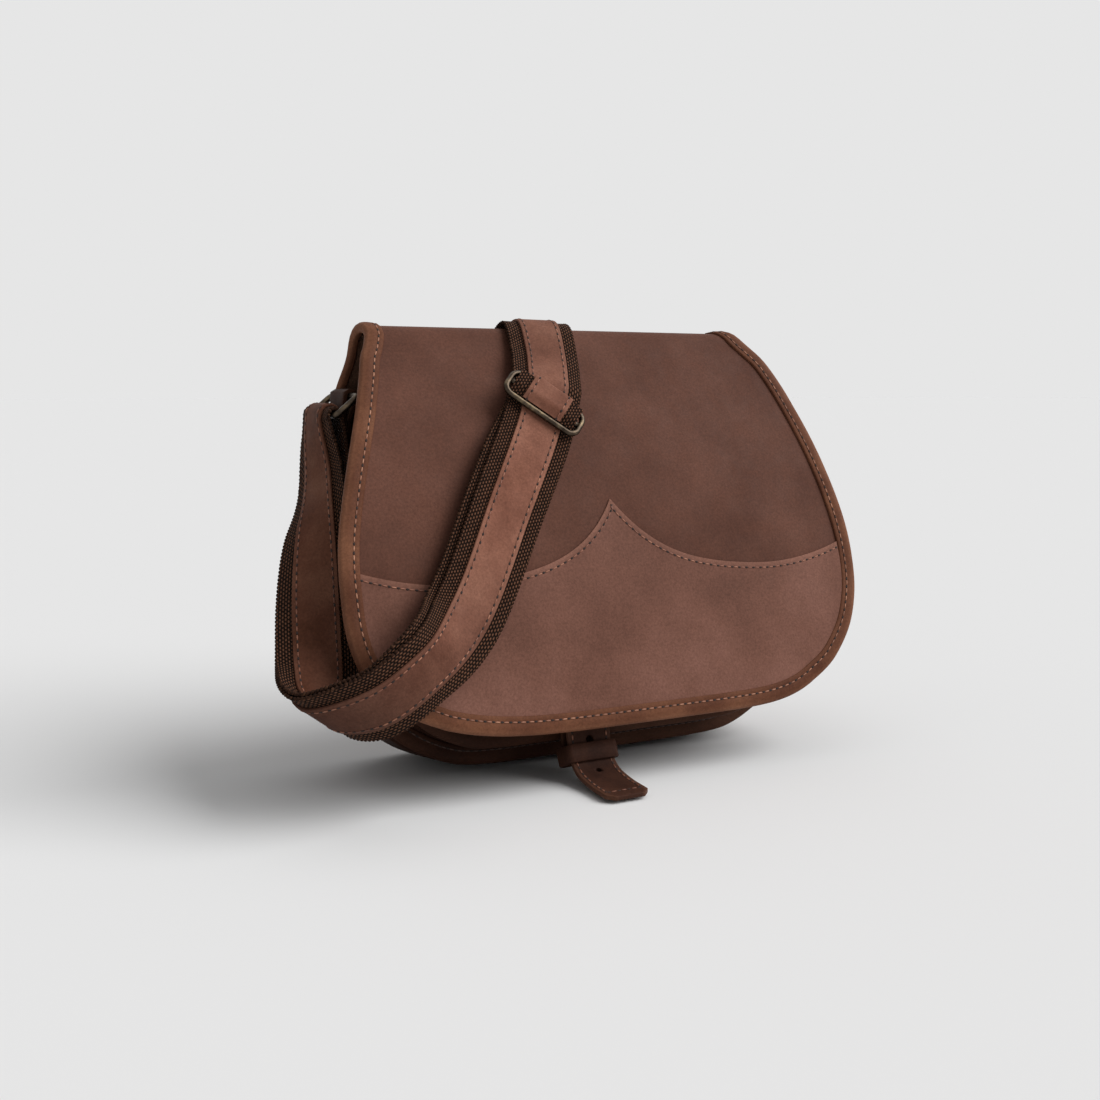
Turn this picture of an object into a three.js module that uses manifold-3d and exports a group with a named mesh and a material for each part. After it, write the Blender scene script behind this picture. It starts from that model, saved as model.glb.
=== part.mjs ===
// Leather hunting bag with a saddle flap, front pocket, buckled billet and webbing shoulder strap.
// Millimetres, +Z up, front faces -Y, origin at the centre of the flat base.
import * as THREE from 'three';
import Module from 'manifold-3d';
import { mergeVertices } from 'three/addons/utils/BufferGeometryUtils.js';

const wasm = await Module();
wasm.setup();

// Driving dimensions
const GAP = 0.3;
const LEATHER = 2.4;
const BACK_Y = 30;
const FOLD_RADIUS = 11;
const FOLD_Z = 234;
const LEAN_TOP = THREE.MathUtils.degToRad(36);
const LEAN_BOTTOM = THREE.MathUtils.degToRad(10);
const FLAP_LENGTH = 226;
const FLAP_DROP = 9.5;
const KNUCKLE_RADIUS = 14.5;
const KNUCKLE_GAP = 0.4;
const BINDING_WIDTH = 10;
const BINDING_SKIN = 1.6;
const BINDING_INNER = 3.2;
const YOKE = 1.8;
const SEAM_ALLOWANCE = 5;
const SEAM_BOTTOM = 8;
const FRONT_TOP_Z = 222;
const FRONT_TOP_Y = 6;
const FRONT_BOTTOM_Y = -30;
const GUSSET = 2;
const GUSSET_SIDE_BULGE = 5;
const POCKET_TOP_Z = 165;
const POCKET_INSET = 12;
const POCKET_DEPTH = 16;
const POCKET_BULGE = 8;
const WEBBING_WIDTH = 40;
const WEBBING = 1.6;
const STRIP_WIDTH = 26;
const STRIP = 1.6;
const RING_WIRE = 3.6;
const RING_LONG = 42;
const RING_SHORT = 12;
const SLIDER_WIRE = 3.4;
const SLIDER_LONG = 42.5;
const SLIDER_SHORT = 18;
const BILLET_WIDTH = 26;
const BILLET = 2.4;
const CLOSURE_X = -23;
const STRAP_LIFT = 8.4;

// Half outlines, as half width against length or height
const FLAP_SIDE = [
  [121, 8], [134, 33], [147, 77], [156.5, 121], [158, 160], [148, 190], [131, 208], [110, 217]];
const BODY_SIDE = [
  [109, 232], [120.5, 200], [133.5, 160], [142, 118], [143, 85], [136, 55], [118, 27], [90, 11], [60, 8]];

const COLOUR = {
  flap: 0x5e4337,
  yoke: 0x6f4e42,
  binding: 0x7a5140,
  body: 0x2f1e19,
  strap: 0x6a4537,
  webbing: 0x33261c,
  metal: 0x7d7264,
};

const bag = new THREE.Group();

function leather(colour) {
  return new THREE.MeshStandardMaterial({ color: colour, roughness: 0.55, metalness: 0 });
}

function metal() {
  return new THREE.MeshStandardMaterial({ color: COLOUR.metal, roughness: 0.35, metalness: 1 });
}

function webbing() {
  return new THREE.MeshStandardMaterial({ color: COLOUR.webbing, roughness: 0.9, metalness: 0 });
}

function add(name, geometry, material, parent = bag) {
  const mesh = new THREE.Mesh(geometry, material);
  mesh.name = name;
  parent.add(mesh);
  return mesh;
}

// A closed geometry from points and triangles, turned so that its faces point out
function closedGeometry(points, faces) {
  const position = new Float32Array(points.flatMap((p) => [p.x, p.y, p.z]));
  let volume = 0;
  for (let k = 0; k < faces.length; k += 3) {
    const [a, b, c] = [points[faces[k]], points[faces[k + 1]], points[faces[k + 2]]];
    volume += a.dot(b.clone().cross(c));
  }
  const outward = volume >= 0 ? faces : faces.slice().reverse();
  const geometry = new THREE.BufferGeometry();
  geometry.setAttribute('position', new THREE.BufferAttribute(position, 3));
  geometry.setIndex(outward);
  geometry.computeVertexNormals();
  return geometry;
}

// A sheet between two grids of points, closed along its four edges
function gridSolid(front, back) {
  const rows = front.length;
  const columns = front[0].length;
  const points = [...front.flat(), ...back.flat()];
  const at = (side, i, j) => side * rows * columns + i * columns + j;
  const faces = [];
  const quad = (a, b, c, d) => faces.push(a, b, c, a, c, d);
  for (let i = 0; i < rows - 1; i += 1) {
    for (let j = 0; j < columns - 1; j += 1) {
      quad(at(0, i, j), at(0, i, j + 1), at(0, i + 1, j + 1), at(0, i + 1, j));
      quad(at(1, i, j), at(1, i + 1, j), at(1, i + 1, j + 1), at(1, i, j + 1));
    }
  }
  const last = columns - 1;
  for (let i = 0; i < rows - 1; i += 1) {
    quad(at(0, i, 0), at(0, i + 1, 0), at(1, i + 1, 0), at(1, i, 0));
    quad(at(0, i, last), at(1, i, last), at(1, i + 1, last), at(0, i + 1, last));
  }
  const end = rows - 1;
  for (let j = 0; j < columns - 1; j += 1) {
    quad(at(0, 0, j), at(1, 0, j), at(1, 0, j + 1), at(0, 0, j + 1));
    quad(at(0, end, j), at(0, end, j + 1), at(1, end, j + 1), at(1, end, j));
  }
  return closedGeometry(points, faces);
}

// A closed profile carried along rings of points, with flat ends or joined in a loop
function ringSolid(rings, profile, loop = false) {
  const n = profile.length;
  const faces = [];
  const count = rings.length;
  for (let k = 0; k < (loop ? count : count - 1); k += 1) {
    const next = (k + 1) % count;
    for (let i = 0; i < n; i += 1) {
      const j = (i + 1) % n;
      faces.push(k * n + i, k * n + j, next * n + j);
      faces.push(k * n + i, next * n + j, next * n + i);
    }
  }
  if (!loop) {
    const cap = THREE.ShapeUtils.triangulateShape(profile, []);
    const flip = THREE.ShapeUtils.isClockWise(profile);
    for (const [a, b, c] of cap) {
      const [p, q] = flip ? [b, c] : [c, b];
      faces.push(a, p, q);
      faces.push((count - 1) * n + a, (count - 1) * n + q, (count - 1) * n + p);
    }
  }
  return closedGeometry(rings.flat(), faces);
}

// A round wire along a closed line of points, with the normal of the plane that it lies in
function wireLoop(points, normal, diameter, sides = 8) {
  const profile = [];
  for (let i = 0; i < sides; i += 1) {
    const angle = (2 * Math.PI * i) / sides;
    profile.push(new THREE.Vector2(Math.cos(angle), Math.sin(angle)));
  }
  const rings = points.map((p, k) => {
    const before = points[(k + points.length - 1) % points.length];
    const after = points[(k + 1) % points.length];
    const side = after.clone().sub(before).normalize().cross(normal).normalize();
    return profile.map((q) => p.clone()
      .addScaledVector(side, (q.x * diameter) / 2)
      .addScaledVector(normal, (q.y * diameter) / 2));
  });
  return ringSolid(rings, profile, true);
}

// A round wire bent to a rectangle with rounded corners, centred on the origin in the XY plane
function wireRectangle(long, short, wire, corner) {
  const shape = new THREE.Shape();
  const x = (long + wire) / 2;
  const y = (short + wire) / 2;
  shape.moveTo(-x + corner, -y);
  shape.lineTo(x - corner, -y);
  shape.absarc(x - corner, -y + corner, corner, -Math.PI / 2, 0, false);
  shape.lineTo(x, y - corner);
  shape.absarc(x - corner, y - corner, corner, 0, Math.PI / 2, false);
  shape.lineTo(-x + corner, y);
  shape.absarc(-x + corner, y - corner, corner, Math.PI / 2, Math.PI, false);
  shape.lineTo(-x, -y + corner);
  shape.absarc(-x + corner, -y + corner, corner, Math.PI, 1.5 * Math.PI, false);
  const outline = shape.getPoints(3);
  const kept = outline.filter((p, k) => k === 0 || p.distanceTo(outline[k - 1]) > 0.01);
  if (kept[0].distanceTo(kept[kept.length - 1]) < 0.01) {
    kept.pop();
  }
  return wireLoop(kept.map((p) => new THREE.Vector3(p.x, p.y, 0)), new THREE.Vector3(0, 0, 1), wire);
}

function solid(geometry) {
  const bare = new THREE.BufferGeometry();
  bare.setAttribute('position', geometry.getAttribute('position').clone());
  if (geometry.index) {
    bare.setIndex(geometry.index.clone());
  }
  const merged = mergeVertices(bare, 1e-4);
  return new wasm.Manifold(new wasm.Mesh({
    numProp: 3,
    vertProperties: new Float32Array(merged.getAttribute('position').array),
    triVerts: new Uint32Array(merged.index.array),
  }));
}

function cut(geometry, tools) {
  let result = solid(geometry);
  for (const tool of tools) {
    result = result.subtract(solid(tool));
  }
  return fromSolid(result);
}

function join(first, second) {
  return fromSolid(solid(first).add(solid(second)));
}

function fromSolid(result) {
  const mesh = result.getMesh();
  const output = new THREE.BufferGeometry();
  output.setAttribute('position', new THREE.BufferAttribute(new Float32Array(mesh.vertProperties), 3));
  output.setIndex(Array.from(mesh.triVerts));
  output.computeVertexNormals();
  return output;
}

const range = (count) => Array.from({ length: count }, (_, k) => k);
const spread = (count, from, to) => range(count).map((k) => from + ((to - from) * k) / (count - 1));

function smooth(t) {
  const c = Math.min(1, Math.max(0, t));
  return c * c * (3 - 2 * c);
}

// The back, fold and flap are one leather sheet: s is its length from where the fold meets the front
const FOLD_Y = BACK_Y - FOLD_RADIUS;
const FOLD_ARC = FOLD_RADIUS * (Math.PI - LEAN_TOP);
const FRONT_RADIUS = FLAP_LENGTH / (LEAN_TOP - LEAN_BOTTOM);

function sheetFrame(s) {
  if (s < -FOLD_ARC) {
    return { y: BACK_Y, z: FOLD_Z + FOLD_ARC + s, ny: 1, nz: 0 };
  }
  if (s < 0) {
    const lean = LEAN_TOP - s / FOLD_RADIUS;
    const [ny, nz] = [-Math.cos(lean), Math.sin(lean)];
    return { y: FOLD_Y + FOLD_RADIUS * ny, z: FOLD_Z + FOLD_RADIUS * nz, ny, nz };
  }
  const lean = LEAN_TOP - s / FRONT_RADIUS;
  const y0 = FOLD_Y - FOLD_RADIUS * Math.cos(LEAN_TOP);
  const z0 = FOLD_Z + FOLD_RADIUS * Math.sin(LEAN_TOP);
  return {
    y: y0 + FRONT_RADIUS * (Math.cos(LEAN_TOP) - Math.cos(lean)),
    z: z0 + FRONT_RADIUS * (Math.sin(lean) - Math.sin(LEAN_TOP)),
    ny: -Math.cos(lean),
    nz: Math.sin(lean),
  };
}

function sheetPoint(x, s, height) {
  const f = sheetFrame(s);
  return new THREE.Vector3(x, f.y + f.ny * height, f.z + f.nz * height);
}

function sheetNormal(s) {
  const f = sheetFrame(s);
  return new THREE.Vector3(0, f.ny, f.nz);
}

// Where the sheet at a height off its middle leaves a cylinder about the fold's centre
function knuckle(height, radius) {
  return Math.sqrt(radius ** 2 - (FOLD_RADIUS + height) ** 2);
}

function spline(points) {
  return new THREE.SplineCurve(points.map(([x, y]) => new THREE.Vector2(x, y)));
}

const flapSide = spline(FLAP_SIDE);
const bodySide = spline(BODY_SIDE);

// The lower part of a side curve, from a given height down
function sideBelow(curve, top, steps) {
  let [low, high] = [0, 1];
  for (let k = 0; k < 40; k += 1) {
    const middle = (low + high) / 2;
    [low, high] = curve.getPointAt(middle).y > top ? [middle, high] : [low, middle];
  }
  return spread(steps, low, 1).map((u) => curve.getPointAt(u));
}

// A path down the left side, along the bottom and up the right side
function roundPath(side, flat = []) {
  const left = side.map((p) => new THREE.Vector2(-p.x, p.y));
  const base = flat.map((x) => new THREE.Vector2(x, side[side.length - 1].y));
  return [...left, ...base, ...side.slice().reverse()];
}

function withNormals(path) {
  return path.map((p, k) => {
    const before = path[Math.max(0, k - 1)];
    const after = path[Math.min(path.length - 1, k + 1)];
    const along = after.clone().sub(before).normalize();
    return { p, out: new THREE.Vector2(along.y, -along.x) };
  });
}

function offsetPath(path, distance) {
  return withNormals(path).map(({ p, out }) => p.clone().addScaledVector(out, distance));
}

// A U of thin leather round the edge of a sheet: a is outward from the edge, b is off the sheet
function bindingProfile(outer, inner, gap = GAP) {
  const seat = LEATHER / 2 + gap;
  const skin = seat + BINDING_SKIN;
  const nose = GAP + BINDING_SKIN;
  const soft = 0.6;
  const points = [
    [-outer, seat], [-outer, skin - soft], [-outer + soft, skin],
    [nose - 2 * soft, skin], [nose, skin - 2 * soft],
    [nose, -skin + 2 * soft], [nose - 2 * soft, -skin], [-inner + soft, -skin], [-inner, -skin + soft],
    [-inner, -seat], [GAP, -seat], [GAP, seat],
  ];
  return points.map(([a, b]) => new THREE.Vector2(a, b));
}

// Binding round an edge in the developed sheet, whose points are x and s
function sheetBinding(edge, profile, kneeRadius) {
  const stations = withNormals(edge);
  const last = stations.length - 1;
  const rings = stations.map(({ p, out }, k) => profile.map((q) => {
    const knee = k === 0 || k === last ? knuckle(q.y, kneeRadius) : p.y + out.y * q.x;
    return sheetPoint(p.x + out.x * q.x, knee, q.y);
  }));
  return ringSolid(rings, profile);
}

// Flap panel, from the knuckle to the rounded lower edge
const FLAP_COLUMNS = spread(9, -1, 1);
const FLAP_ROWS = 18;

function flapRow(p, rowShare) {
  const drop = FLAP_DROP * rowShare ** 6;
  return FLAP_COLUMNS.map((v) => [v * p.x, p.y + drop * (1 - v ** 4)]);
}

function flapPanel() {
  const rows = flapSide.getSpacedPoints(FLAP_ROWS);
  const face = (height) => rows.map((p, k) => flapRow(p, k / FLAP_ROWS).map(([x, s]) => (
    sheetPoint(x, k === 0 ? knuckle(height, KNUCKLE_RADIUS + KNUCKLE_GAP) : s, height))));
  return gridSolid(face(LEATHER / 2), face(-LEATHER / 2));
}

// The flap's edge from its left knuckle round to its right one, with length downward as negative
function flapEdge() {
  const side = flapSide.getSpacedPoints(FLAP_ROWS).slice(1);
  const start = new THREE.Vector2(FLAP_SIDE[0][0] + 1.6, FLAP_SIDE[0][1]);
  const corner = side[side.length - 1];
  const bottom = spread(9, -1, 1).slice(1, -1).map((v) => (
    new THREE.Vector2(v * corner.x, corner.y + FLAP_DROP * (1 - v ** 4))));
  const right = [start, ...side];
  const left = right.map((p) => new THREE.Vector2(-p.x, p.y));
  return [...left, ...bottom, ...right.slice().reverse()].map((p) => new THREE.Vector2(p.x, -p.y));
}

function flapBinding() {
  const stations = withNormals(flapEdge());
  const profile = bindingProfile(BINDING_WIDTH, BINDING_WIDTH);
  const last = stations.length - 1;
  const rings = stations.map(({ p, out }, k) => profile.map((q) => {
    const length = -p.y - out.y * q.x;
    const s = k === 0 || k === last ? knuckle(q.y, KNUCKLE_RADIUS + KNUCKLE_GAP) : length;
    return sheetPoint(p.x + out.x * q.x, s, q.y);
  }));
  return ringSolid(rings, profile);
}

// Yoke sewn over the lower flap: its upper edge rises to a point in the middle and to both sides
const YOKE_LOW = 147.5;
const YOKE_PEAK = 43.5;
const YOKE_SHARP = 5.4;
const YOKE_EAR = 10.5;
const YOKE_HALF = 144.5;

function yokeTop(v) {
  const side = Math.max(0, (Math.abs(v) - 0.6) / 0.4);
  return YOKE_LOW - YOKE_PEAK * Math.exp(-YOKE_SHARP * Math.abs(v)) - YOKE_EAR * side * side;
}

// The lowest place at x on the line where the binding's inner edge lies
function yokeBottom(line, x) {
  let lowest = 0;
  for (let k = 0; k < line.length - 1; k += 1) {
    const [p, q] = [line[k], line[k + 1]];
    if (Math.min(p.x, q.x) <= x && x <= Math.max(p.x, q.x) && p.x !== q.x) {
      lowest = Math.max(lowest, -(p.y + ((q.y - p.y) * (x - p.x)) / (q.x - p.x)));
    }
  }
  return lowest;
}

function flapYoke() {
  const line = offsetPath(flapEdge(), -(BINDING_WIDTH + 2 * GAP));
  const base = LEATHER / 2 + GAP;
  const face = (height) => spread(33, -1, 1).map((v) => {
    const x = v * YOKE_HALF;
    return spread(7, yokeTop(v), yokeBottom(line, x)).map((s) => sheetPoint(x, s, height));
  });
  return gridSolid(face(base + YOKE), face(base));
}

// Fold over the top, on the knuckle's side
function flapFold() {
  const lengths = spread(9, -FOLD_ARC + GAP, 0);
  const top = BODY_SIDE[0][0] + SEAM_ALLOWANCE;
  const face = (height) => [...lengths, knuckle(height, KNUCKLE_RADIUS)].map((s) => (
    spread(3, -top, top).map((x) => sheetPoint(x, s, height))));
  return gridSolid(face(LEATHER / 2), face(-LEATHER / 2));
}

// Flat panels of the body, whose face height depends on x and z
function panel(side, faceY, thickness, columns = 9) {
  const shares = spread(columns, -1, 1);
  const face = (offset) => side.map((p) => shares.map((v) => {
    const x = v * p.x;
    return new THREE.Vector3(x, faceY(x, p.y) + offset, p.y);
  }));
  return gridSolid(face(-thickness / 2), face(thickness / 2));
}

function frontY(z) {
  return FRONT_TOP_Y + ((FRONT_BOTTOM_Y - FRONT_TOP_Y) * (FRONT_TOP_Z - z)) / (FRONT_TOP_Z - SEAM_BOTTOM);
}

function pocketY(x, z) {
  const rise = (z - SEAM_BOTTOM) / (POCKET_TOP_Z - SEAM_BOTTOM);
  const swell = Math.sin(Math.PI * Math.min(1, Math.max(0, rise))) * (1 - (x / 140) ** 2);
  return frontY(z) - POCKET_DEPTH - POCKET_BULGE * Math.max(0, swell);
}

const FLAT_BASE = [-52, 52];
const bodySeam = (top, steps) => roundPath(sideBelow(bodySide, top, steps), FLAT_BASE);
const rightHalf = (path) => path.slice(path.length / 2).reverse();

// Binding round the edge of a panel that faces the front
function panelBinding(path, faceY, inner, gap) {
  const profile = bindingProfile(BINDING_WIDTH - 1, inner, gap);
  const rings = withNormals(path).map(({ p, out }) => profile.map((q) => {
    const x = p.x + out.x * q.x;
    const z = p.y + out.y * q.x;
    return new THREE.Vector3(x, faceY(x, z) - q.y, z);
  }));
  return ringSolid(rings, profile);
}

// The back edge's binding runs up both sides and over the fold's ends
function backBinding() {
  const edge = offsetPath(bodySeam(BODY_SIDE[0][1], 14), SEAM_ALLOWANCE);
  const sheet = edge.map((p) => new THREE.Vector2(p.x, p.y - FOLD_Z - FOLD_ARC));
  const top = BODY_SIDE[0][0] + SEAM_ALLOWANCE;
  const over = [...spread(7, -FOLD_ARC + 1, -1), 4];
  const left = over.slice().reverse().map((s) => new THREE.Vector2(-top, s));
  const right = over.map((s) => new THREE.Vector2(top, s));
  const profile = bindingProfile(BINDING_WIDTH - 1, BINDING_INNER);
  return sheetBinding([...left, ...sheet, ...right], profile, KNUCKLE_RADIUS);
}

// A gusset between two faces: it swells outward across its width, flat in the middle
const GUSSET_COLUMNS = [0, 0.1, 0.2, 0.8, 0.9, 1];

function gusset(path, nearY, farY, bulge) {
  const stations = withNormals(path);
  const face = (inset) => stations.map(({ p, out }) => GUSSET_COLUMNS.map((v) => {
    const swell = bulge(p) * smooth(Math.min(v, 1 - v) / 0.2) - inset;
    const y = nearY(p) + (farY(p) - nearY(p)) * v;
    return new THREE.Vector3(p.x + out.x * swell, y, p.y + out.y * swell);
  }));
  return gridSolid(face(0), face(GUSSET));
}

function bodyGusset() {
  const bulge = (p) => GUSSET_SIDE_BULGE + (SEAM_BOTTOM - GUSSET_SIDE_BULGE) * smooth((60 - p.y) / 50);
  const clear = LEATHER / 2 + 2 * GAP;
  return gusset(bodySeam(FRONT_TOP_Z, 14), (p) => frontY(p.y) + clear, () => BACK_Y - clear, bulge);
}

const pocketSeam = () => offsetPath(bodySeam(POCKET_TOP_Z, 12), -POCKET_INSET);

function pocketGusset() {
  const clear = LEATHER / 2 + 2 * GAP;
  const bulge = () => 2;
  return gusset(pocketSeam(), (p) => pocketY(p.x, p.y) + clear, (p) => frontY(p.y) - clear, bulge);
}

// Body panels
const backEdge = offsetPath(bodySeam(BODY_SIDE[0][1], 14), SEAM_ALLOWANCE);
const frontEdge = offsetPath(bodySeam(FRONT_TOP_Z, 14), SEAM_ALLOWANCE);
const pocketEdge = offsetPath(pocketSeam(), SEAM_ALLOWANCE - 1);

function bodyPanels() {
  add('back_panel', panel(rightHalf(backEdge), () => BACK_Y, LEATHER), leather(COLOUR.flap));
  add('back_binding', backBinding(), leather(COLOUR.binding));
  add('flap_fold', flapFold(), leather(COLOUR.flap));
  add('body_gusset', bodyGusset(), leather(COLOUR.body));
  add('front_panel', panel(rightHalf(frontEdge), (x, z) => frontY(z), LEATHER), leather(COLOUR.body));
  const frontBinding = panelBinding(frontEdge, (x, z) => frontY(z), BINDING_INNER, GAP);
  add('front_binding', frontBinding, leather(COLOUR.body));
  add('pocket_gusset', pocketGusset(), leather(COLOUR.body));
  add('pocket_panel', panel(rightHalf(pocketEdge), pocketY, LEATHER), leather(COLOUR.body));
  add('pocket_binding', panelBinding(pocketEdge, pocketY, 2.2, 0.8), leather(COLOUR.body));
}

// Ribbons: stations hold a centre, the direction across and the normal
function ribbon(stations, width, thickness, lift = 0, columns = [-1, 1]) {
  const face = (height) => stations.map((st) => columns.map((side) => (
    st.centre.clone()
      .addScaledVector(st.normal, lift + height)
      .addScaledVector(st.across, (side * (st.width ?? width)) / 2))));
  return gridSolid(face(thickness / 2), face(-thickness / 2));
}

// Ring tabs: a leather loop sewn to the gusset, round the upper bar of a wire ring
const TAB_Z = 200;
const TAB_Y = 17;
const TAB_SEWN_WIDTH = 18;
const TAB_LOOP_WIDTH = 37;
const TAB_LEATHER = 2.2;
const RING_PITCH = RING_SHORT + RING_WIRE;
const RING_HANG = THREE.MathUtils.degToRad(40);

function tabFrame() {
  const u = sideBelow(bodySide, TAB_Z, 2)[0];
  const lower = sideBelow(bodySide, TAB_Z - 40, 2)[0];
  const up = u.clone().sub(lower).normalize();
  const out = new THREE.Vector2(-up.y, up.x).multiplyScalar(-1);
  const origin = u.clone().addScaledVector(out, GUSSET_SIDE_BULGE);
  const y = TAB_Y;
  return { origin, up, out, y };
}

const TAB = tabFrame();
const LOOP_UP = 4;
const LOOP_OUT = 8;

function tabPlace(a, b) {
  return TAB.origin.clone().addScaledVector(TAB.up, a).addScaledVector(TAB.out, b);
}

function ringTab(side) {
  const inner = 4 * GAP + TAB_LEATHER / 2;
  const outer = inner + TAB_LEATHER + GAP;
  const reach = RING_WIRE / 2 + GAP + TAB_LEATHER / 2;
  const arc = spread(9, -Math.PI / 2, Math.PI / 2).map((t) => [
    LOOP_UP + reach * Math.cos(t), LOOP_OUT + reach * Math.sin(t), TAB_LOOP_WIDTH]);
  const places = [
    [-46, inner, TAB_SEWN_WIDTH], [-16, inner, TAB_SEWN_WIDTH], [-8, 4.6, 22], ...arc,
    [-8, 8, 22], [-16, outer, TAB_SEWN_WIDTH], [-44, outer, TAB_SEWN_WIDTH],
  ];
  const points = places.map(([a, b]) => tabPlace(a, b));
  const stations = points.map((p, k) => {
    const after = points[Math.min(points.length - 1, k + 1)];
    const along = after.clone().sub(points[Math.max(0, k - 1)]).normalize();
    return {
      centre: new THREE.Vector3(side * p.x, TAB.y, p.y),
      normal: new THREE.Vector3(-side * along.y, 0, along.x),
      across: new THREE.Vector3(0, 1, 0),
      width: places[k][2],
    };
  });
  return ribbon(stations, TAB_SEWN_WIDTH, TAB_LEATHER);
}

function ringPlaces(side) {
  const upper = tabPlace(LOOP_UP, LOOP_OUT);
  const lower = new THREE.Vector2(
    upper.x + RING_PITCH * Math.cos(RING_HANG), upper.y - RING_PITCH * Math.sin(RING_HANG));
  return {
    upper: new THREE.Vector3(side * upper.x, TAB.y, upper.y),
    lower: new THREE.Vector3(side * lower.x, TAB.y, lower.y),
  };
}

function addRing(name, side) {
  const { upper, lower } = ringPlaces(side);
  const mesh = add(name, wireRectangle(RING_LONG, RING_SHORT, RING_WIRE, 3.2), metal());
  const down = lower.clone().sub(upper).normalize();
  const along = new THREE.Vector3(0, 1, 0);
  const basis = new THREE.Matrix4().makeBasis(along, down, along.clone().cross(down));
  mesh.quaternion.setFromRotationMatrix(basis);
  mesh.position.copy(upper).add(lower).multiplyScalar(0.5);
}

// Shoulder strap: the doubled run hangs from the left ring, turns under and climbs the flap to the slider
const V = (x, y, z) => new THREE.Vector3(x, y, z);
const HALF_DOUBLE = 0.6 + WEBBING / 2;
const RING_SLACK = 4;

function onFlap(x, s, lift = STRAP_LIFT) {
  return { centre: sheetPoint(x, s, LEATHER / 2 + lift), normal: sheetNormal(s) };
}

const leftBar = ringPlaces(-1).lower;
const rightBar = ringPlaces(1).lower;

const DOUBLED = [
  { centre: leftBar.clone().add(V(-0.4, 0, -5)), normal: V(1, 0.05, 0) },
  { centre: V(-149, TAB.y - 7, 168), normal: V(0.95, 0.3, 0) },
  { centre: V(-153.4, -11, 138), normal: V(0.75, 0.65, 0) },
  { centre: V(-163.5, -29, 104), normal: V(0.45, 0.9, 0) },
  { centre: V(-168.5, -49, 72), normal: V(0.2, 0.8, -0.55) },
  { centre: V(-166.5, -69, 55.5), normal: V(0, 0.1, -1) },
  { centre: V(-154, -91.5, 61), normal: V(-0.2, -0.8, -0.55) },
  { centre: V(-134.5, -93.5, 79.5), normal: V(-0.15, -0.97, 0.05) },
  onFlap(-106.5, 164),
  onFlap(-65.5, 107.5),
  onFlap(-38, 64),
  onFlap(-27, 38),
];

const SINGLE = [
  onFlap(-20.5, 16, 5.4),
  onFlap(-17, -6, 3.8),
  onFlap(-15.5, -20, 3.6),
  { centre: V(-14.5, BACK_Y + 6, 222), normal: V(0, 1, 0) },
  { centre: V(-10, BACK_Y + 11, 186), normal: V(-0.25, 0.95, 0) },
  { centre: V(8, BACK_Y + 24, 140), normal: V(-0.75, 0.6, 0) },
  { centre: V(38, BACK_Y + 30, 98), normal: V(-0.85, 0.2, -0.4) },
  { centre: V(88, BACK_Y + 30, 74), normal: V(0.05, 0.1, -1) },
  { centre: V(140, BACK_Y + 27, 94), normal: V(0.85, 0.1, -0.5) },
  { centre: V(168, BACK_Y + 6, 138), normal: V(0.97, 0, -0.15) },
  { centre: V(158, TAB.y + 2, 178), normal: V(1, 0, 0.1) },
];

function layOut(places, steps) {
  const centres = new THREE.CatmullRomCurve3(places.map((p) => p.centre), false, 'centripetal');
  const normals = new THREE.CatmullRomCurve3(places.map((p) => p.normal), false, 'centripetal');
  return range(steps + 1).map((k) => {
    const t = k / steps;
    const along = centres.getTangent(t);
    const normal = normals.getPoint(t).addScaledVector(along, -normals.getPoint(t).dot(along)).normalize();
    return { centre: centres.getPoint(t), along, normal, share: t };
  });
}

// The strap turns round a ring's bar on the side that faces away from the run below it
function roundBar(bar, from, up, radius, turn) {
  return spread(7, 0, turn).map((angle) => {
    const normal = from.clone().multiplyScalar(Math.cos(angle)).addScaledVector(up, Math.sin(angle));
    return { centre: bar.clone().addScaledVector(normal, radius), normal };
  });
}

function strapStations() {
  const doubled = layOut(DOUBLED, 44);
  const spreadAt = (share) => HALF_DOUBLE + (RING_SLACK - HALF_DOUBLE) * (1 - smooth(share / 0.16));
  const layer = (sign) => doubled.map((st) => ({
    centre: st.centre.clone().addScaledVector(st.normal, sign * spreadAt(st.share)),
    normal: st.normal.clone().multiplyScalar(sign),
  }));
  const up = V(0, 0, 1);
  const first = doubled[0].normal;
  const loop = roundBar(leftBar, first.clone().negate(), up, RING_SLACK, Math.PI);
  const join = layer(1)[44];
  const single = layOut([{ centre: join.centre, normal: join.normal }, ...SINGLE], 44).slice(1);
  const endNormal = single[single.length - 1].normal;
  const rightLoop = roundBar(rightBar, endNormal, up, RING_SLACK, Math.PI);
  const tail = [8, 20, 34].map((drop) => ({
    centre: rightBar.clone().addScaledVector(endNormal, -RING_SLACK + 1.2 * (drop / 34))
      .add(V(0.35 * drop, 0, -drop)),
    normal: endNormal.clone().negate(),
  }));
  const all = [...layer(-1).reverse(), ...loop, ...layer(1), ...single, ...rightLoop, ...tail];
  return all.map((st, k) => {
    const before = all[Math.max(0, k - 1)].centre;
    const after = all[Math.min(all.length - 1, k + 1)].centre;
    const along = after.clone().sub(before).normalize();
    const normal = st.normal.clone().addScaledVector(along, -st.normal.dot(along)).normalize();
    return { centre: st.centre, normal, across: along.clone().cross(normal).normalize() };
  });
}

// Slider: a wire frame and centre bar that ride on the front run, with the strap humped over the bar
const SLIDER_SPOT = 42;
const SLIDER_SKEW = THREE.MathUtils.degToRad(-16);

function sliderFrame() {
  const st = layOut(DOUBLED, 44)[SLIDER_SPOT];
  const along = st.along.clone().applyAxisAngle(st.normal, SLIDER_SKEW);
  const across = along.clone().cross(st.normal).normalize();
  const top = HALF_DOUBLE + WEBBING / 2 + GAP + STRIP;
  return { centre: st.centre.clone().addScaledVector(st.normal, top), along, across, normal: st.normal };
}

const SLIDER = sliderFrame();

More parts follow.
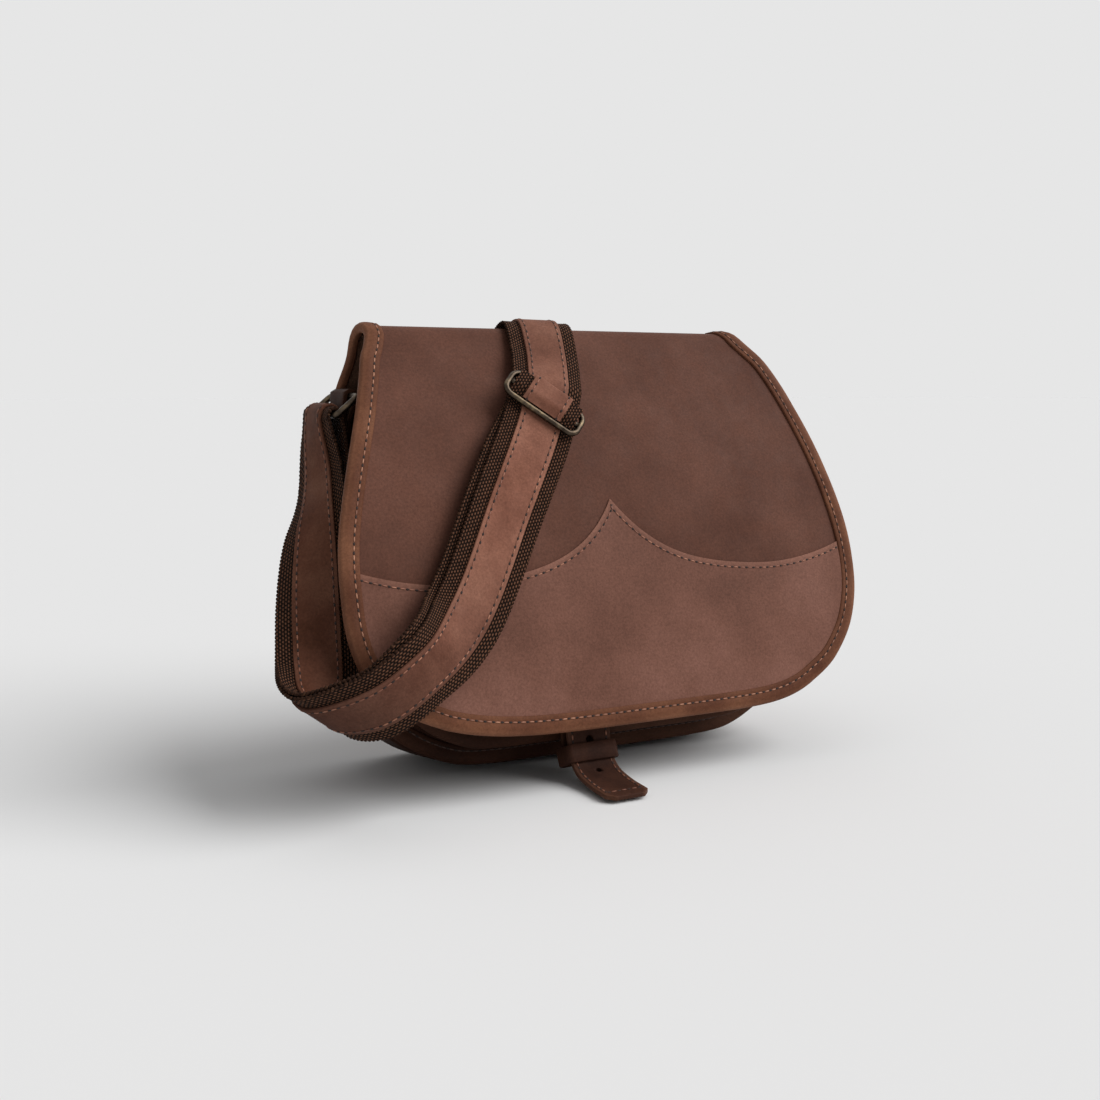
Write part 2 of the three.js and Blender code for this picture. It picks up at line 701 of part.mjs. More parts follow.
function sliderPlace(a, h) {
  return SLIDER.centre.clone().addScaledVector(SLIDER.along, a).addScaledVector(SLIDER.normal, h);
}

function wrapStations() {
  const foot = GAP + WEBBING / 2;
  const rise = SLIDER_WIRE + GAP;
  const line = spread(13, -8, 8).map((a) => [a, foot + rise * Math.exp(-((a / 4) ** 2))]);
  return line.map(([a, h], k) => {
    const [a0, h0] = line[Math.max(0, k - 1)];
    const [a1, h1] = line[Math.min(line.length - 1, k + 1)];
    const slope = new THREE.Vector2(a1 - a0, h1 - h0).normalize();
    const normal = SLIDER.along.clone().multiplyScalar(-slope.y).addScaledVector(SLIDER.normal, slope.x);
    return { centre: sliderPlace(a, h), normal, across: SLIDER.across };
  });
}

function addSlider() {
  const basis = new THREE.Matrix4().makeBasis(SLIDER.across, SLIDER.along, SLIDER.normal);
  const height = GAP + SLIDER_WIRE / 2;
  const frame = add('slider_frame', wireRectangle(SLIDER_LONG, SLIDER_SHORT, SLIDER_WIRE, 5), metal());
  frame.quaternion.setFromRotationMatrix(basis);
  frame.position.copy(sliderPlace(0, height));
  const length = SLIDER_LONG - 2 * GAP;
  const rod = new THREE.CylinderGeometry(SLIDER_WIRE / 2, SLIDER_WIRE / 2, length, 10);
  const bar = add('slider_bar', rod, metal());
  bar.quaternion.setFromRotationMatrix(new THREE.Matrix4().makeBasis(
    SLIDER.normal, SLIDER.across, SLIDER.normal.clone().cross(SLIDER.across)));
  bar.position.copy(sliderPlace(0, height));
  const hump = wrapStations();
  add('slider_wrap', ribbon(hump, WEBBING_WIDTH, WEBBING), webbing());
  const lift = WEBBING / 2 + GAP + STRIP / 2;
  add('slider_wrap_strip', ribbon(hump, STRIP_WIDTH, STRIP, lift), leather(COLOUR.strap));
}

// Closure: a billet sewn under the flap runs down through a buckle and keeper, and its tip lies forward
const BILLET_LINE = [
  [-58, 98], [-59.6, 84], [-59.4, 68], [-59.4, 52], [-60.4, 37], [-62, 24], [-65, 14.5], [-72, 7.5],
  [-86, 4.2], [-104, 3.2]];
const CHAPE_SPAN = [0.26, 0.73];
const CHAPE = 2;
const BUCKLE_WIDE = 29;
const BUCKLE_TALL = 20;
const BUCKLE_WIRE = 3;
const BUCKLE_AT = 0.31;
const BUCKLE_TILT = THREE.MathUtils.degToRad(17);
const CHAPE_BACK = -7;
const PRONG = 2.4;
const PRONG_EYE = 2.5;
const SLOT_WIDE = 4.6;
const STUD_AT = 0.42;
const STUD_RADIUS = 3.4;
const KEEPER_AT = 0.665;
const KEEPER_TALL = 10;
const KEEPER_WALL = 2;

const billetSpots = BILLET_LINE.map(([y, z]) => V(CLOSURE_X, y, z));
const billetCurve = new THREE.CatmullRomCurve3(billetSpots, false, 'centripetal');

function billetFrame(u) {
  const along = billetCurve.getTangentAt(u);
  const normal = along.clone().cross(V(1, 0, 0)).normalize();
  return { centre: billetCurve.getPointAt(u), along, normal, across: V(1, 0, 0) };
}

// A cutter across the billet's thickness, turned with the billet
function across(u, geometry, off = 0) {
  const f = billetFrame(u);
  const basis = new THREE.Matrix4().makeBasis(f.across, f.normal, f.across.clone().cross(f.normal));
  return geometry.applyMatrix4(basis.setPosition(f.centre.clone().addScaledVector(f.normal, off)));
}

function billet() {
  const body = ribbon(spread(25, 0, 1).map(billetFrame), BILLET_WIDTH, BILLET);
  const holes = [0.17, 0.6, 0.755].map((u) => across(u, new THREE.CylinderGeometry(2.2, 2.2, 8, 10)));
  const slot = across(BUCKLE_AT + 0.012, new THREE.BoxGeometry(SLOT_WIDE, 8, 15));
  return cut(body, [...holes, slot]);
}

function chape() {
  const frames = spread(9, CHAPE_SPAN[0], CHAPE_SPAN[1]).map(billetFrame);
  const strip = ribbon(frames, BILLET_WIDTH, CHAPE, CHAPE_BACK);
  return cut(strip, [across(BUCKLE_AT + 0.06, new THREE.BoxGeometry(SLOT_WIDE, 8, 13), CHAPE_BACK)]);
}

function keeper() {
  const f = billetFrame(KEEPER_AT);
  const inX = BILLET_WIDTH / 2 + 1;
  const inFront = BILLET / 2 + GAP + 0.9;
  const inBack = CHAPE_BACK - CHAPE / 2 - 6 * GAP;
  const outline = new THREE.Shape();
  const box = (path, grow) => {
    path.moveTo(-inX - grow, inBack - grow);
    path.lineTo(inX + grow, inBack - grow);
    path.lineTo(inX + grow, inFront + grow);
    path.lineTo(-inX - grow, inFront + grow);
    path.closePath();
  };
  box(outline, KEEPER_WALL);
  const hole = new THREE.Path();
  box(hole, 0);
  outline.holes.push(hole);
  const ring = new THREE.ExtrudeGeometry(outline, { depth: KEEPER_TALL, bevelEnabled: false });
  ring.translate(0, 0, -KEEPER_TALL / 2);
  const basis = new THREE.Matrix4().makeBasis(f.across, f.normal, f.across.clone().cross(f.normal));
  return ring.applyMatrix4(basis.setPosition(f.centre));
}

function buckleBasis() {
  const f = billetFrame(BUCKLE_AT);
  const up = f.along.clone().negate();
  const tilt = new THREE.Matrix4().makeRotationAxis(f.across, BUCKLE_TILT);
  const side = up.clone().transformDirection(tilt);
  const face = f.normal.clone().transformDirection(tilt);
  const centre = f.centre.clone().addScaledVector(f.normal, -0.2);
  return { centre, up: side, face, across: f.across };
}

const BUCKLE = buckleBasis();
const HEEL = BUCKLE.centre.clone().addScaledVector(BUCKLE.up, -(BUCKLE_TALL + BUCKLE_WIRE) / 2);

function addBuckle() {
  const frame = add('buckle_frame', wireRectangle(BUCKLE_WIDE, BUCKLE_TALL, BUCKLE_WIRE, 4), metal());
  frame.quaternion.setFromRotationMatrix(new THREE.Matrix4().makeBasis(
    BUCKLE.across, BUCKLE.up, BUCKLE.across.clone().cross(BUCKLE.up)));
  frame.position.copy(BUCKLE.centre);
}

// Prong: an eye round the heel bar and a shank that passes the billet's slot to rest on the far bar
function prong() {
  const eyeShape = new THREE.Shape();
  eyeShape.absarc(0, 0, PRONG_EYE, 0, 2 * Math.PI, false);
  const hole = new THREE.Path();
  hole.absarc(0, 0, BUCKLE_WIRE / 2 + GAP, 0, 2 * Math.PI, true);
  eyeShape.holes.push(hole);
  const eye = new THREE.ExtrudeGeometry(eyeShape, { depth: 3.6, bevelEnabled: false, curveSegments: 8 });
  eye.translate(0, 0, -1.8);
  eye.applyMatrix4(new THREE.Matrix4().makeBasis(BUCKLE.up, BUCKLE.face, BUCKLE.across).setPosition(HEEL));
  const rest = BUCKLE_WIRE / 2 + GAP + PRONG / 2;
  const tip = HEEL.clone().addScaledVector(BUCKLE.up, BUCKLE_TALL + BUCKLE_WIRE + 2.4);
  tip.addScaledVector(BUCKLE.face, rest);
  const toTip = tip.clone().sub(HEEL).normalize();
  const start = HEEL.clone().addScaledVector(toTip, (PRONG_EYE + BUCKLE_WIRE / 2 + GAP) / 2 + 0.1);
  const length = tip.distanceTo(start);
  const shank = new THREE.CylinderGeometry(PRONG / 2 - 0.2, PRONG / 2, length, 8);
  const turn = new THREE.Quaternion().setFromUnitVectors(V(0, 1, 0), toTip);
  shank.applyQuaternion(turn);
  const middle = start.clone().add(tip).multiplyScalar(0.5);
  shank.translate(middle.x, middle.y, middle.z);
  return join(eye, shank);
}

// Press stud: a post on the pocket and a ring on the back of the buckle's strap
function addStud() {
  const f = billetFrame(STUD_AT);
  const base = f.centre.clone().addScaledVector(f.normal, CHAPE_BACK - CHAPE / 2 - GAP);
  const face = pocketY(base.x, base.z) - LEATHER / 2 - 2 * GAP;
  const tall = face - base.y - 0.4;
  const post = new THREE.CylinderGeometry(STUD_RADIUS, STUD_RADIUS - 0.4, tall, 16);
  post.translate(base.x, face - tall / 2, base.z);
  add('stud_post', post, metal());
  const ringShape = new THREE.Shape();
  ringShape.absarc(0, 0, STUD_RADIUS + 3, 0, 2 * Math.PI, false);
  const hole = new THREE.Path();
  hole.absarc(0, 0, STUD_RADIUS + 1.1, 0, 2 * Math.PI, true);
  ringShape.holes.push(hole);
  const settings = { depth: tall - 1, bevelEnabled: false, curveSegments: 10 };
  const ring = new THREE.ExtrudeGeometry(ringShape, settings);
  ring.translate(0, 0, 1 - tall);
  const up = f.along.clone().negate();
  const basis = new THREE.Matrix4().makeBasis(f.across, up, f.across.clone().cross(up));
  add('stud_socket', ring.applyMatrix4(basis.setPosition(base)), metal());
}

add('flap_panel', flapPanel(), leather(COLOUR.flap));
add('flap_binding', flapBinding(), leather(COLOUR.binding));
add('flap_yoke', flapYoke(), leather(COLOUR.yoke));
bodyPanels();
add('tab_left', ringTab(-1), leather(COLOUR.body));
add('tab_right', ringTab(1), leather(COLOUR.body));
addRing('ring_left', -1);
addRing('ring_right', 1);
const STRAP = strapStations();
const SEWN = STRIP_WIDTH / WEBBING_WIDTH;
add('shoulder_webbing', ribbon(STRAP, WEBBING_WIDTH, WEBBING, 0, [-1, -SEWN, SEWN, 1]), webbing());
const stripLift = WEBBING / 2 + GAP + STRIP / 2;
add('shoulder_strip', ribbon(STRAP, STRIP_WIDTH, STRIP, stripLift), leather(COLOUR.strap));
addSlider();
add('closure_billet', billet(), leather(COLOUR.binding));
add('closure_chape', chape(), leather(COLOUR.body));
add('closure_keeper', keeper(), leather(COLOUR.binding));
addBuckle();
add('buckle_prong', prong(), metal());
addStud();

export default bag;
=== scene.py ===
"""A brown leather hunting bag with a saddle flap, a buckled closure and a webbing shoulder strap."""

import math
from functools import partial

import bmesh
import bpy
import numpy as np
from mathutils import Matrix, Vector, noise


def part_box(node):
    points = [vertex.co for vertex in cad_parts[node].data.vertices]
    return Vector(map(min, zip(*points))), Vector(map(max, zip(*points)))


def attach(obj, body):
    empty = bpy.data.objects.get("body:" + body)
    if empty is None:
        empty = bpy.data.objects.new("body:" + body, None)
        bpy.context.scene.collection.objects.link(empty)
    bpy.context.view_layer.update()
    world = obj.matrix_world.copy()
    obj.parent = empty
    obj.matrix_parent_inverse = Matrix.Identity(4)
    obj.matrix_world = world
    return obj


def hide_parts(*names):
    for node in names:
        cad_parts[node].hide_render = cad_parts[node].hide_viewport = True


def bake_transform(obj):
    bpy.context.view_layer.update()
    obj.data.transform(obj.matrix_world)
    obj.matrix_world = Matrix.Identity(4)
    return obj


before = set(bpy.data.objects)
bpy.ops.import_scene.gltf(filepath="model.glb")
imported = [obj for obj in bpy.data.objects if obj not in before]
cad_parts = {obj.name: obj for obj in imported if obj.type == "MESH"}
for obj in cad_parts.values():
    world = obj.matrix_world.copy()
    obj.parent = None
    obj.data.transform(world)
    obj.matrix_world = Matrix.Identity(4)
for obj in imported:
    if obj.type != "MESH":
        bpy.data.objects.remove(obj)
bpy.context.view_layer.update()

MM = 0.001

# Sizes in millimetres, as in the part
GAP = 0.3
HIDE = 2.4
BACK_Y = 30.0
FOLD_RADIUS = 11.0
FOLD_Z = 234.0
LEAN_TOP = math.radians(36)
LEAN_BOTTOM = math.radians(10)
FLAP_LENGTH = 226.0
FLAP_DROP = 9.5
FOLD_Y = BACK_Y - FOLD_RADIUS
FOLD_ARC = FOLD_RADIUS * (math.pi - LEAN_TOP)
FRONT_RADIUS = FLAP_LENGTH / (LEAN_TOP - LEAN_BOTTOM)
FLAP_SIDE = [(121, 8), (134, 33), (147, 77), (156.5, 121), (158.5, 152), (157, 172), (150.5, 190),
             (136.5, 205.5), (113, 217)]
BODY_SIDE = [(109, 232), (120.5, 200), (133.5, 160), (142, 118), (143, 85), (136, 55), (118, 27), (90, 11),
             (60, 8)]
FLAT_BASE = 52.0
SEAM_ALLOWANCE = 5.0
SEAM_BOTTOM = 8.0
FRONT_TOP_Z = 222.0
FRONT_TOP_Y = 6.0
FRONT_BOTTOM_Y = -30.0
POCKET_TOP_Z = 165.0
POCKET_INSET = 12.0
POCKET_DEPTH = 16.0
POCKET_BULGE = 8.0
GUSSET = 2.0
WEBBING_WIDTH = 40.0
WEBBING = 1.6
STRIP_WIDTH = 24.0
STRIP = 1.6
CLOSURE_X = -23.0
BILLET_WIDTH = 26.0
BILLET = 2.4
CHAPE = 2.0

# Where the photo was taken from, in metres and degrees
LENS = 41.7
CAMERA_AT = (-0.3517, -0.6546, 0.2101)
CAMERA_TURN = (82.93, 0, -27.25)

# Lights: degrees round from the flap's face, degrees up, strength, and softness in degrees
KEY_LIGHT = (54, 40, 3.1, 50)
TOP_LIGHT = (150, 70, 0.5, 60)
AMBIENT = 0.3
BACKDROP = "#e6e6e6"
PAPER = "#dedede"
FLOOR_SIZE = 80


def add_object(name, data):
    made = bpy.data.objects.new(name, data)
    bpy.context.scene.collection.objects.link(made)
    return made


def add_camera():
    data = bpy.data.cameras.new("camera")
    data.sensor_width = 36
    data.lens = LENS
    data.clip_start = 0.01
    camera = add_object("camera", data)
    camera.location = CAMERA_AT
    camera.rotation_euler = [math.radians(turn) for turn in CAMERA_TURN]
    bpy.context.scene.camera = camera


# Nodes

def linear(code):
    """An sRGB hex colour as linear red, green, blue and alpha."""
    channels = [int(code[k:k + 2], 16) / 255 for k in (1, 3, 5)]
    return [c / 12.92 if c <= 0.04045 else ((c + 0.055) / 1.055) ** 2.4 for c in channels] + [1.0]


def feed(tree, target, settings):
    """Gives a node its properties, inputs and colour stops; a value that is a socket is linked."""
    for key, value in settings.items():
        if key == "stops":
            bar = target.color_ramp.elements
            while len(bar) < len(value):
                bar.new(0.5)
            for element, (place, colour) in zip(bar, value):
                element.position = place
                element.color = linear(colour)
            continue
        if isinstance(key, str) and hasattr(target, key):
            setattr(target, key, value)
            continue
        socket = target.inputs[key] if isinstance(key, int) else next(
            s for s in target.inputs if key in (s.name, s.identifier))
        if isinstance(value, bpy.types.NodeSocket):
            tree.links.new(value, socket)
        else:
            socket.default_value = value


def node(tree, kind, *inputs, out=0, **named):
    """Adds a node, with inputs in order and then settings and inputs by name, and returns one of its outputs."""
    made = tree.nodes.new(kind)
    feed(tree, made, {**dict(enumerate(inputs)), **named})
    return made.outputs[out]


def material(name):
    """A new material, a function that adds its nodes, one that feeds its shader, and the place on the object."""
    made = bpy.data.materials.new(name)
    made.use_nodes = True
    tree = made.node_tree
    add = partial(node, tree)
    return made, add, partial(feed, tree, tree.nodes["Principled BSDF"]), add("ShaderNodeTexCoord", out="Object")


def per_mm(size):
    """Texture scale for a pattern of that size in millimetres."""
    return 1000.0 / size


# Materials

RUB_MM = 13
# Painted light and shade on the strap, as greys up to that height: painted shade where it bends and faces down, palest
# halfway up where the light falls, painted shade again at the top
PAINTED_LIGHT_HEIGHT = 250 * MM
STRAP_PAINTED_LIGHT = [(0.22, "#9c9c9c"), (0.42, "#d6d6d6"), (0.64, "#ffffff"), (0.95, "#cccccc")]


def waxed_leather(name, dark, middle, light, worn_edge, blotch_mm=70, nap_mm=1.3, painted_light=None):
    """Oiled, waxed cowhide: matt with a soft shine, cloudy colour, a fine buffed nap and paler rubbed marks; where
    given, painted light and shade by height.

    A real nap is some tenths of a millimetre; it is drawn coarser, because it wouldn't show at this distance.
    """
    made, add, shade, place = material(name)
    cloud = add("ShaderNodeTexNoise", place, Scale=per_mm(blotch_mm), Detail=4.0, Roughness=0.55)
    colour = add("ShaderNodeValToRGB", cloud, stops=[(0.32, dark), (0.5, middle), (0.68, light)])
    rub = add("ShaderNodeTexNoise", place, Scale=per_mm(RUB_MM), Detail=7.0, Roughness=0.7, Distortion=0.5)
    rubbed = add("ShaderNodeMapRange", rub, 0.5, 0.8, 0.0, 0.4)
    wear = add("ShaderNodeAttribute", attribute_name="wear", out="Fac")
    bare = add("ShaderNodeMath", wear, cloud, operation="MULTIPLY")
    for share, tint in ((rubbed, light), (bare, worn_edge)):
        colour = add("ShaderNodeMix", share, data_type="RGBA", A_Color=colour, B_Color=linear(tint), out=2)
    nap = add("ShaderNodeTexNoise", place, Scale=per_mm(nap_mm), Detail=3.0, Roughness=0.7)
    layers = [add("ShaderNodeMapRange", nap, 0.3, 0.7, 0.78, 1.19)]
    # Painted light and shade: the colour is multiplied by greys that follow the height
    if painted_light:
        height = add("ShaderNodeSeparateXYZ", place, out="Z")
        layers.append(add("ShaderNodeValToRGB", add("ShaderNodeMapRange", height, 0.0, PAINTED_LIGHT_HEIGHT), stops=painted_light))
    for layer in layers:
        colour = add("ShaderNodeMix", 1.0, data_type="RGBA", blend_type="MULTIPLY", A_Color=colour, B_Color=layer,
                     out=2)
    grain = add("ShaderNodeMath", nap, 0.5, rub, operation="MULTIPLY_ADD")
    shade({"Base Color": colour, "Roughness": add("ShaderNodeMapRange", rub, 0.3, 0.75, 0.52, 0.72),
           "Normal": add("ShaderNodeBump", Strength=0.25, Distance=0.4 * MM, Height=grain),
           "Specular IOR Level": 0.06})
    return made


def clouded(name, size_mm, stops, shading, detail=2.0, roughness=0.5):
    """A surface of one cloudy colour with constant shading; its cloud can also drive relief or shine."""
    made, add, shade, place = material(name)
    cloud = add("ShaderNodeTexNoise", place, Scale=per_mm(size_mm), Detail=detail, Roughness=roughness)
    shade({"Base Color": add("ShaderNodeValToRGB", cloud, stops=stops), **shading})
    return made, add, shade, cloud


def flesh_side():
    """The hide's raw back: dull, fibrous and paler than the face."""
    stops = [(0.3, "#4a3328"), (0.55, "#5f4435"), (0.75, "#705241")]
    made, add, shade, fibre = clouded("leather_flesh_side", 2.2, stops,
                                      {"Roughness": 0.92, "Specular IOR Level": 0.2}, 6.0, 0.75)
    shade({"Normal": add("ShaderNodeBump", Strength=0.5, Distance=0.6 * MM, Height=fibre)})
    return made


# The weave's floats, along and across the band; drawn a little coarser than life, so that they show
RIB_MM = 2.3
CORD_MM = 1.45


def cotton_webbing():
    """Heavy woven webbing: rows of short floats across the band, dark brown with tan flecks; their crowns are painted
    paler and the gaps between them darker, as painted highlight and shade.
    """
    made, add, shade, place = material("cotton_webbing")
    length = add("ShaderNodeSeparateXYZ", add("ShaderNodeUVMap", uv_map="weave"))
    row = add("ShaderNodeMath", length.node.outputs["Y"], per_mm(CORD_MM), operation="MULTIPLY")
    offset = add("ShaderNodeMath", add("ShaderNodeMath", row, operation="FLOOR"), 0.5, operation="MULTIPLY")
    along = add("ShaderNodeMath", length, per_mm(RIB_MM), offset, operation="MULTIPLY_ADD")
    crowns = []
    for source in (along, row):
        part = add("ShaderNodeMath", source, operation="FRACT")
        centred = add("ShaderNodeMath", part, 2.0, -1.0, operation="MULTIPLY_ADD")
        square = add("ShaderNodeMath", centred, centred, operation="MULTIPLY")
        crowns.append(add("ShaderNodeMath", 1.0, square, operation="SUBTRACT"))
    bead = add("ShaderNodeMath", *crowns, operation="MULTIPLY")
    fleck = add("ShaderNodeTexNoise", place, Scale=per_mm(3.2), Detail=3.0)
    lit = add("ShaderNodeMath", fleck, 0.55, -0.22, operation="MULTIPLY_ADD")
    # Painted highlight on the floats' crowns and painted shade in the gaps, with random tan flecks on top
    crown_light_and_flecks = add("ShaderNodeMath", bead, lit, operation="ADD")
    stops = [(0.1, "#120905"), (0.55, "#321e14"), (1.0, "#6e4b38")]
    shade({"Base Color": add("ShaderNodeValToRGB", crown_light_and_flecks, stops=stops), "Roughness": 0.85,
           "Normal": add("ShaderNodeBump", Strength=1.0, Distance=1.2 * MM, Height=bead),
           "Specular IOR Level": 0.1})
    return made


def waxed_thread(name, dark, middle, light):
    """Thick waxed sewing thread with a slight shine, dirtied in places."""
    return clouded(name, 14, [(0.3, dark), (0.5, middle), (0.7, light)], {"Roughness": 0.6})[0]


def antique_brass():
    """Drawn brass wire with a dark antique finish, rubbed brighter in random patches."""
    stops = [(0.3, "#2b241e"), (0.52, "#4a4036"), (0.72, "#75664f")]
    made, add, shade, cloud = clouded("antique_brass", 6, stops, {"Metallic": 1.0}, 5.0, 0.65)
    shade({"Roughness": add("ShaderNodeMapRange", cloud, 0.3, 0.7, 0.28, 0.46)})
    return made


FLAP_LEATHER = waxed_leather("waxed_cowhide_flap", "#4b2e24", "#57382d", "#634135", "#7e5645")
YOKE_LEATHER = waxed_leather("waxed_cowhide_yoke", "#604035", "#6d4a3e", "#7a5549", "#8f6555")
BINDING_LEATHER = waxed_leather("waxed_cowhide_binding", "#502f21", "#603c2b", "#704934", "#865c46", 30, 1.2)
# The strap's leather carries painted light and shade by height
STRAP_LEATHER = waxed_leather("waxed_cowhide_strap", "#6e4536", "#875948", "#9b6b58", "#a97b65", 34,
                              painted_light=STRAP_PAINTED_LIGHT)
# A darker copy of the strap leather: painted shade for the runs down the bag's shaded left side
STRAP_SHADED_LEATHER = waxed_leather("waxed_cowhide_strap_shaded", "#4a2b1d", "#5b382a", "#6b4737", "#805b4a", 34)
BODY_LEATHER = waxed_leather("waxed_cowhide_body", "#2c1912", "#3a2319", "#492f23", "#5f3f2f")
# A darker copy of the binding leather: painted shade for the closure strap and its keeper, low on the bag under the
# flap
CLOSURE_SHADED_LEATHER = waxed_leather("waxed_cowhide_closure_shaded", "#2e1c16", "#3d261d", "#4d3227", "#684737", 30, 1.2)
FLESH = flesh_side()
WEB = cotton_webbing()
# The turned cords at the webbing's edge: dark, dull cotton with a few tan fibres
CORD = clouded("cotton_selvedge", 2.4, [(0.3, "#170c07"), (0.55, "#311e14"), (0.75, "#523828")],
               {"Roughness": 0.88, "Specular IOR Level": 0.1}, 3.0)[0]
THREAD = waxed_thread("tan_waxed_thread", "#6f4532", "#93624a", "#ad7b60")
RUBBED_THREAD = waxed_thread("red_brown_waxed_thread", "#5c3423", "#7c4b36", "#a06c52")
DARK_THREAD = waxed_thread("brown_waxed_thread", "#2a1812", "#3a241b", "#4a3026")
# Painted shade: flat dark beads for the shadow in each pricked hole where a stitch goes in
PAINTED_HOLE_SHADE = clouded("needle_hole_shade", 5, [(0.3, "#1d110c"), (0.7, "#2c1b14")], {"Roughness": 0.9})[0]
BRASS = antique_brass()


# Lines and frames

def hermite(p1, p2, v1, v2, w):
    """A point at share w between two points with the given speeds."""
    return (2 * p1 - 2 * p2 + v1 + v2) * w ** 3 + (-3 * p1 + 3 * p2 - 2 * v1 - v2) * w ** 2 + v1 * w + p1


def uniform_spline(points, count):
    """Evenly spaced points on a smooth line through the given ones."""
    p = np.array(points, float)
    last = len(p) - 1
    dense = []
    for t in np.linspace(0, last, 600):
        i = min(int(t), last - 1)
        before, after = p[max(i - 1, 0)], p[min(i + 2, last)]
        dense.append(hermite(p[i], p[i + 1], (p[i + 1] - before) / 2, (after - p[i]) / 2, t - i))
    return resample(np.array(dense), count)


def run_lengths(line):
    """Distance along a line at each of its points."""
    return np.concatenate([[0], np.cumsum(np.linalg.norm(np.diff(line, axis=0), axis=1))])


def values_at(targets, lengths, rows):
    """Rows of values read off at other lengths."""
    return np.stack([np.interp(targets, lengths, column) for column in rows.T], axis=1)


def resample(line, count, closed=False):
    """The same line with that many evenly spaced points."""
    line = np.asarray(line, float)
    if closed:
        line = np.vstack([line, line[:1]])
    lengths = run_lengths(line)
    out = values_at(np.linspace(0, lengths[-1], count + 1 if closed else count), lengths, line)
    return out[:-1] if closed else out


def centripetal(points, t):
    """A point at share t of a smooth line that doesn't overshoot its corners."""
    n = len(points)
    i = min(int((n - 1) * t), n - 2)
    w = (n - 1) * t - i
    p1, p2 = points[i], points[i + 1]
    p0 = points[i - 1] if i > 0 else 2 * points[0] - points[1]
    p3 = points[i + 2] if i + 2 < n else 2 * points[-1] - points[-2]
    d0, d1, d2 = (np.linalg.norm(b - a) ** 0.5 for a, b in ((p0, p1), (p1, p2), (p2, p3)))
    t1 = ((p1 - p0) / d0 - (p2 - p0) / (d0 + d1) + (p2 - p1) / d1) * d1
    t2 = ((p2 - p1) / d1 - (p3 - p1) / (d1 + d2) + (p3 - p2) / d2) * d1
    return hermite(p1, p2, t1, t2, w)


def unit(v):
    return v / np.linalg.norm(v, axis=-1, keepdims=True)


def directions(line, closed=False):
    """Which way a line runs at each of its points."""
    return unit(np.roll(line, -1, axis=0) - np.roll(line, 1, axis=0) if closed else np.gradient(line, axis=0))


def square_to(face, along):
    """Normals made square to the line's direction."""
    return unit(face - (face * along).sum(axis=1, keepdims=True) * along)


def smooth(t):
    """A soft step from 0 to 1."""
    c = np.clip(t, 0, 1)
    return c * c * (3 - 2 * c)


def wander(x, y, z, size):
    """Smooth noise from -1 to 1 with features of that size."""
    return noise.noise(Vector((x / size, y / size, z / size)))


def sheet_frame(s):
    """Place (y, z) and outward normal of the hide's middle at length s: flat back, round fold, bowed flap."""
    if s < -FOLD_ARC:
        return BACK_Y, FOLD_Z + FOLD_ARC + s, 1.0, 0.0
    if s < 0:
        lean = LEAN_TOP - s / FOLD_RADIUS
        ny, nz = -math.cos(lean), math.sin(lean)
        return FOLD_Y + FOLD_RADIUS * ny, FOLD_Z + FOLD_RADIUS * nz, ny, nz
    lean = LEAN_TOP - s / FRONT_RADIUS
    y0 = FOLD_Y - FOLD_RADIUS * math.cos(LEAN_TOP)
    z0 = FOLD_Z + FOLD_RADIUS * math.sin(LEAN_TOP)
    y = y0 + FRONT_RADIUS * (math.cos(LEAN_TOP) - math.cos(lean))
    z = z0 + FRONT_RADIUS * (math.sin(lean) - math.sin(LEAN_TOP))
    return y, z, -math.cos(lean), math.sin(lean)


# How far the hide moves off its even form
BACK_CROWN = 2.2
CROWN_HALF = 150
BACK_WAVE = 0.5
FLAP_WAVE = 1.3
FLAP_RIPPLE = 0.35


def hide_wave(x, s):
    """The hide's soft unevenness: slack in the flap, a slight crown in the back."""
    if s < -FOLD_ARC:
        down = -FOLD_ARC - s
        crown = BACK_CROWN * (1 - (x / CROWN_HALF) ** 2) * smooth(down / 60)
        crown *= smooth((FOLD_Z - SEAM_BOTTOM - down) / 70)
        return crown + BACK_WAVE * wander(x, s, 3, 70) * smooth(down / 40)
    return smooth((s - 15) / 70) * (FLAP_WAVE * wander(x, s, 11, 85) + FLAP_RIPPLE * wander(x, s, 5, 30))


def sheet_point(x, s, height):
    """A point that far off the hide's middle, uneven as the hide is."""
    y, z, ny, nz = sheet_frame(s)
    h = height + hide_wave(x, s)
    return np.array([x, y + ny * h, z + nz * h])


def sheet_seam(row, height):
    """A row of x and length as points that far off the hide's middle, with their normals."""
    return ([sheet_point(x, s, height) for x, s in row],
            [np.array([0.0, *sheet_frame(s)[2:]]) for _, s in row])


def side_below(side, top, count):
    """The part of a half outline that is below a height."""
    dense = uniform_spline(side, 800)
    k = int(np.argmax(dense[:, 1] <= top))
    return resample(dense[k:], count)


def round_path(side):
    """A whole outline, down one side, over the flat base and up the other."""
    low = side[-1][1]
    base = [[-FLAT_BASE, low], [0, low], [FLAT_BASE, low]]
    return np.vstack([side * [-1, 1], base, side[::-1]])


def outward(path, closed=False):
    """Directions square to a flat line, out of an outline that runs down its left side."""
    along = directions(path, closed)
    return np.stack([along[:, 1], -along[:, 0]], axis=1)


# Meshes

SHEET_BEVEL = 0.45
RIBBON_BEVEL = 0.4


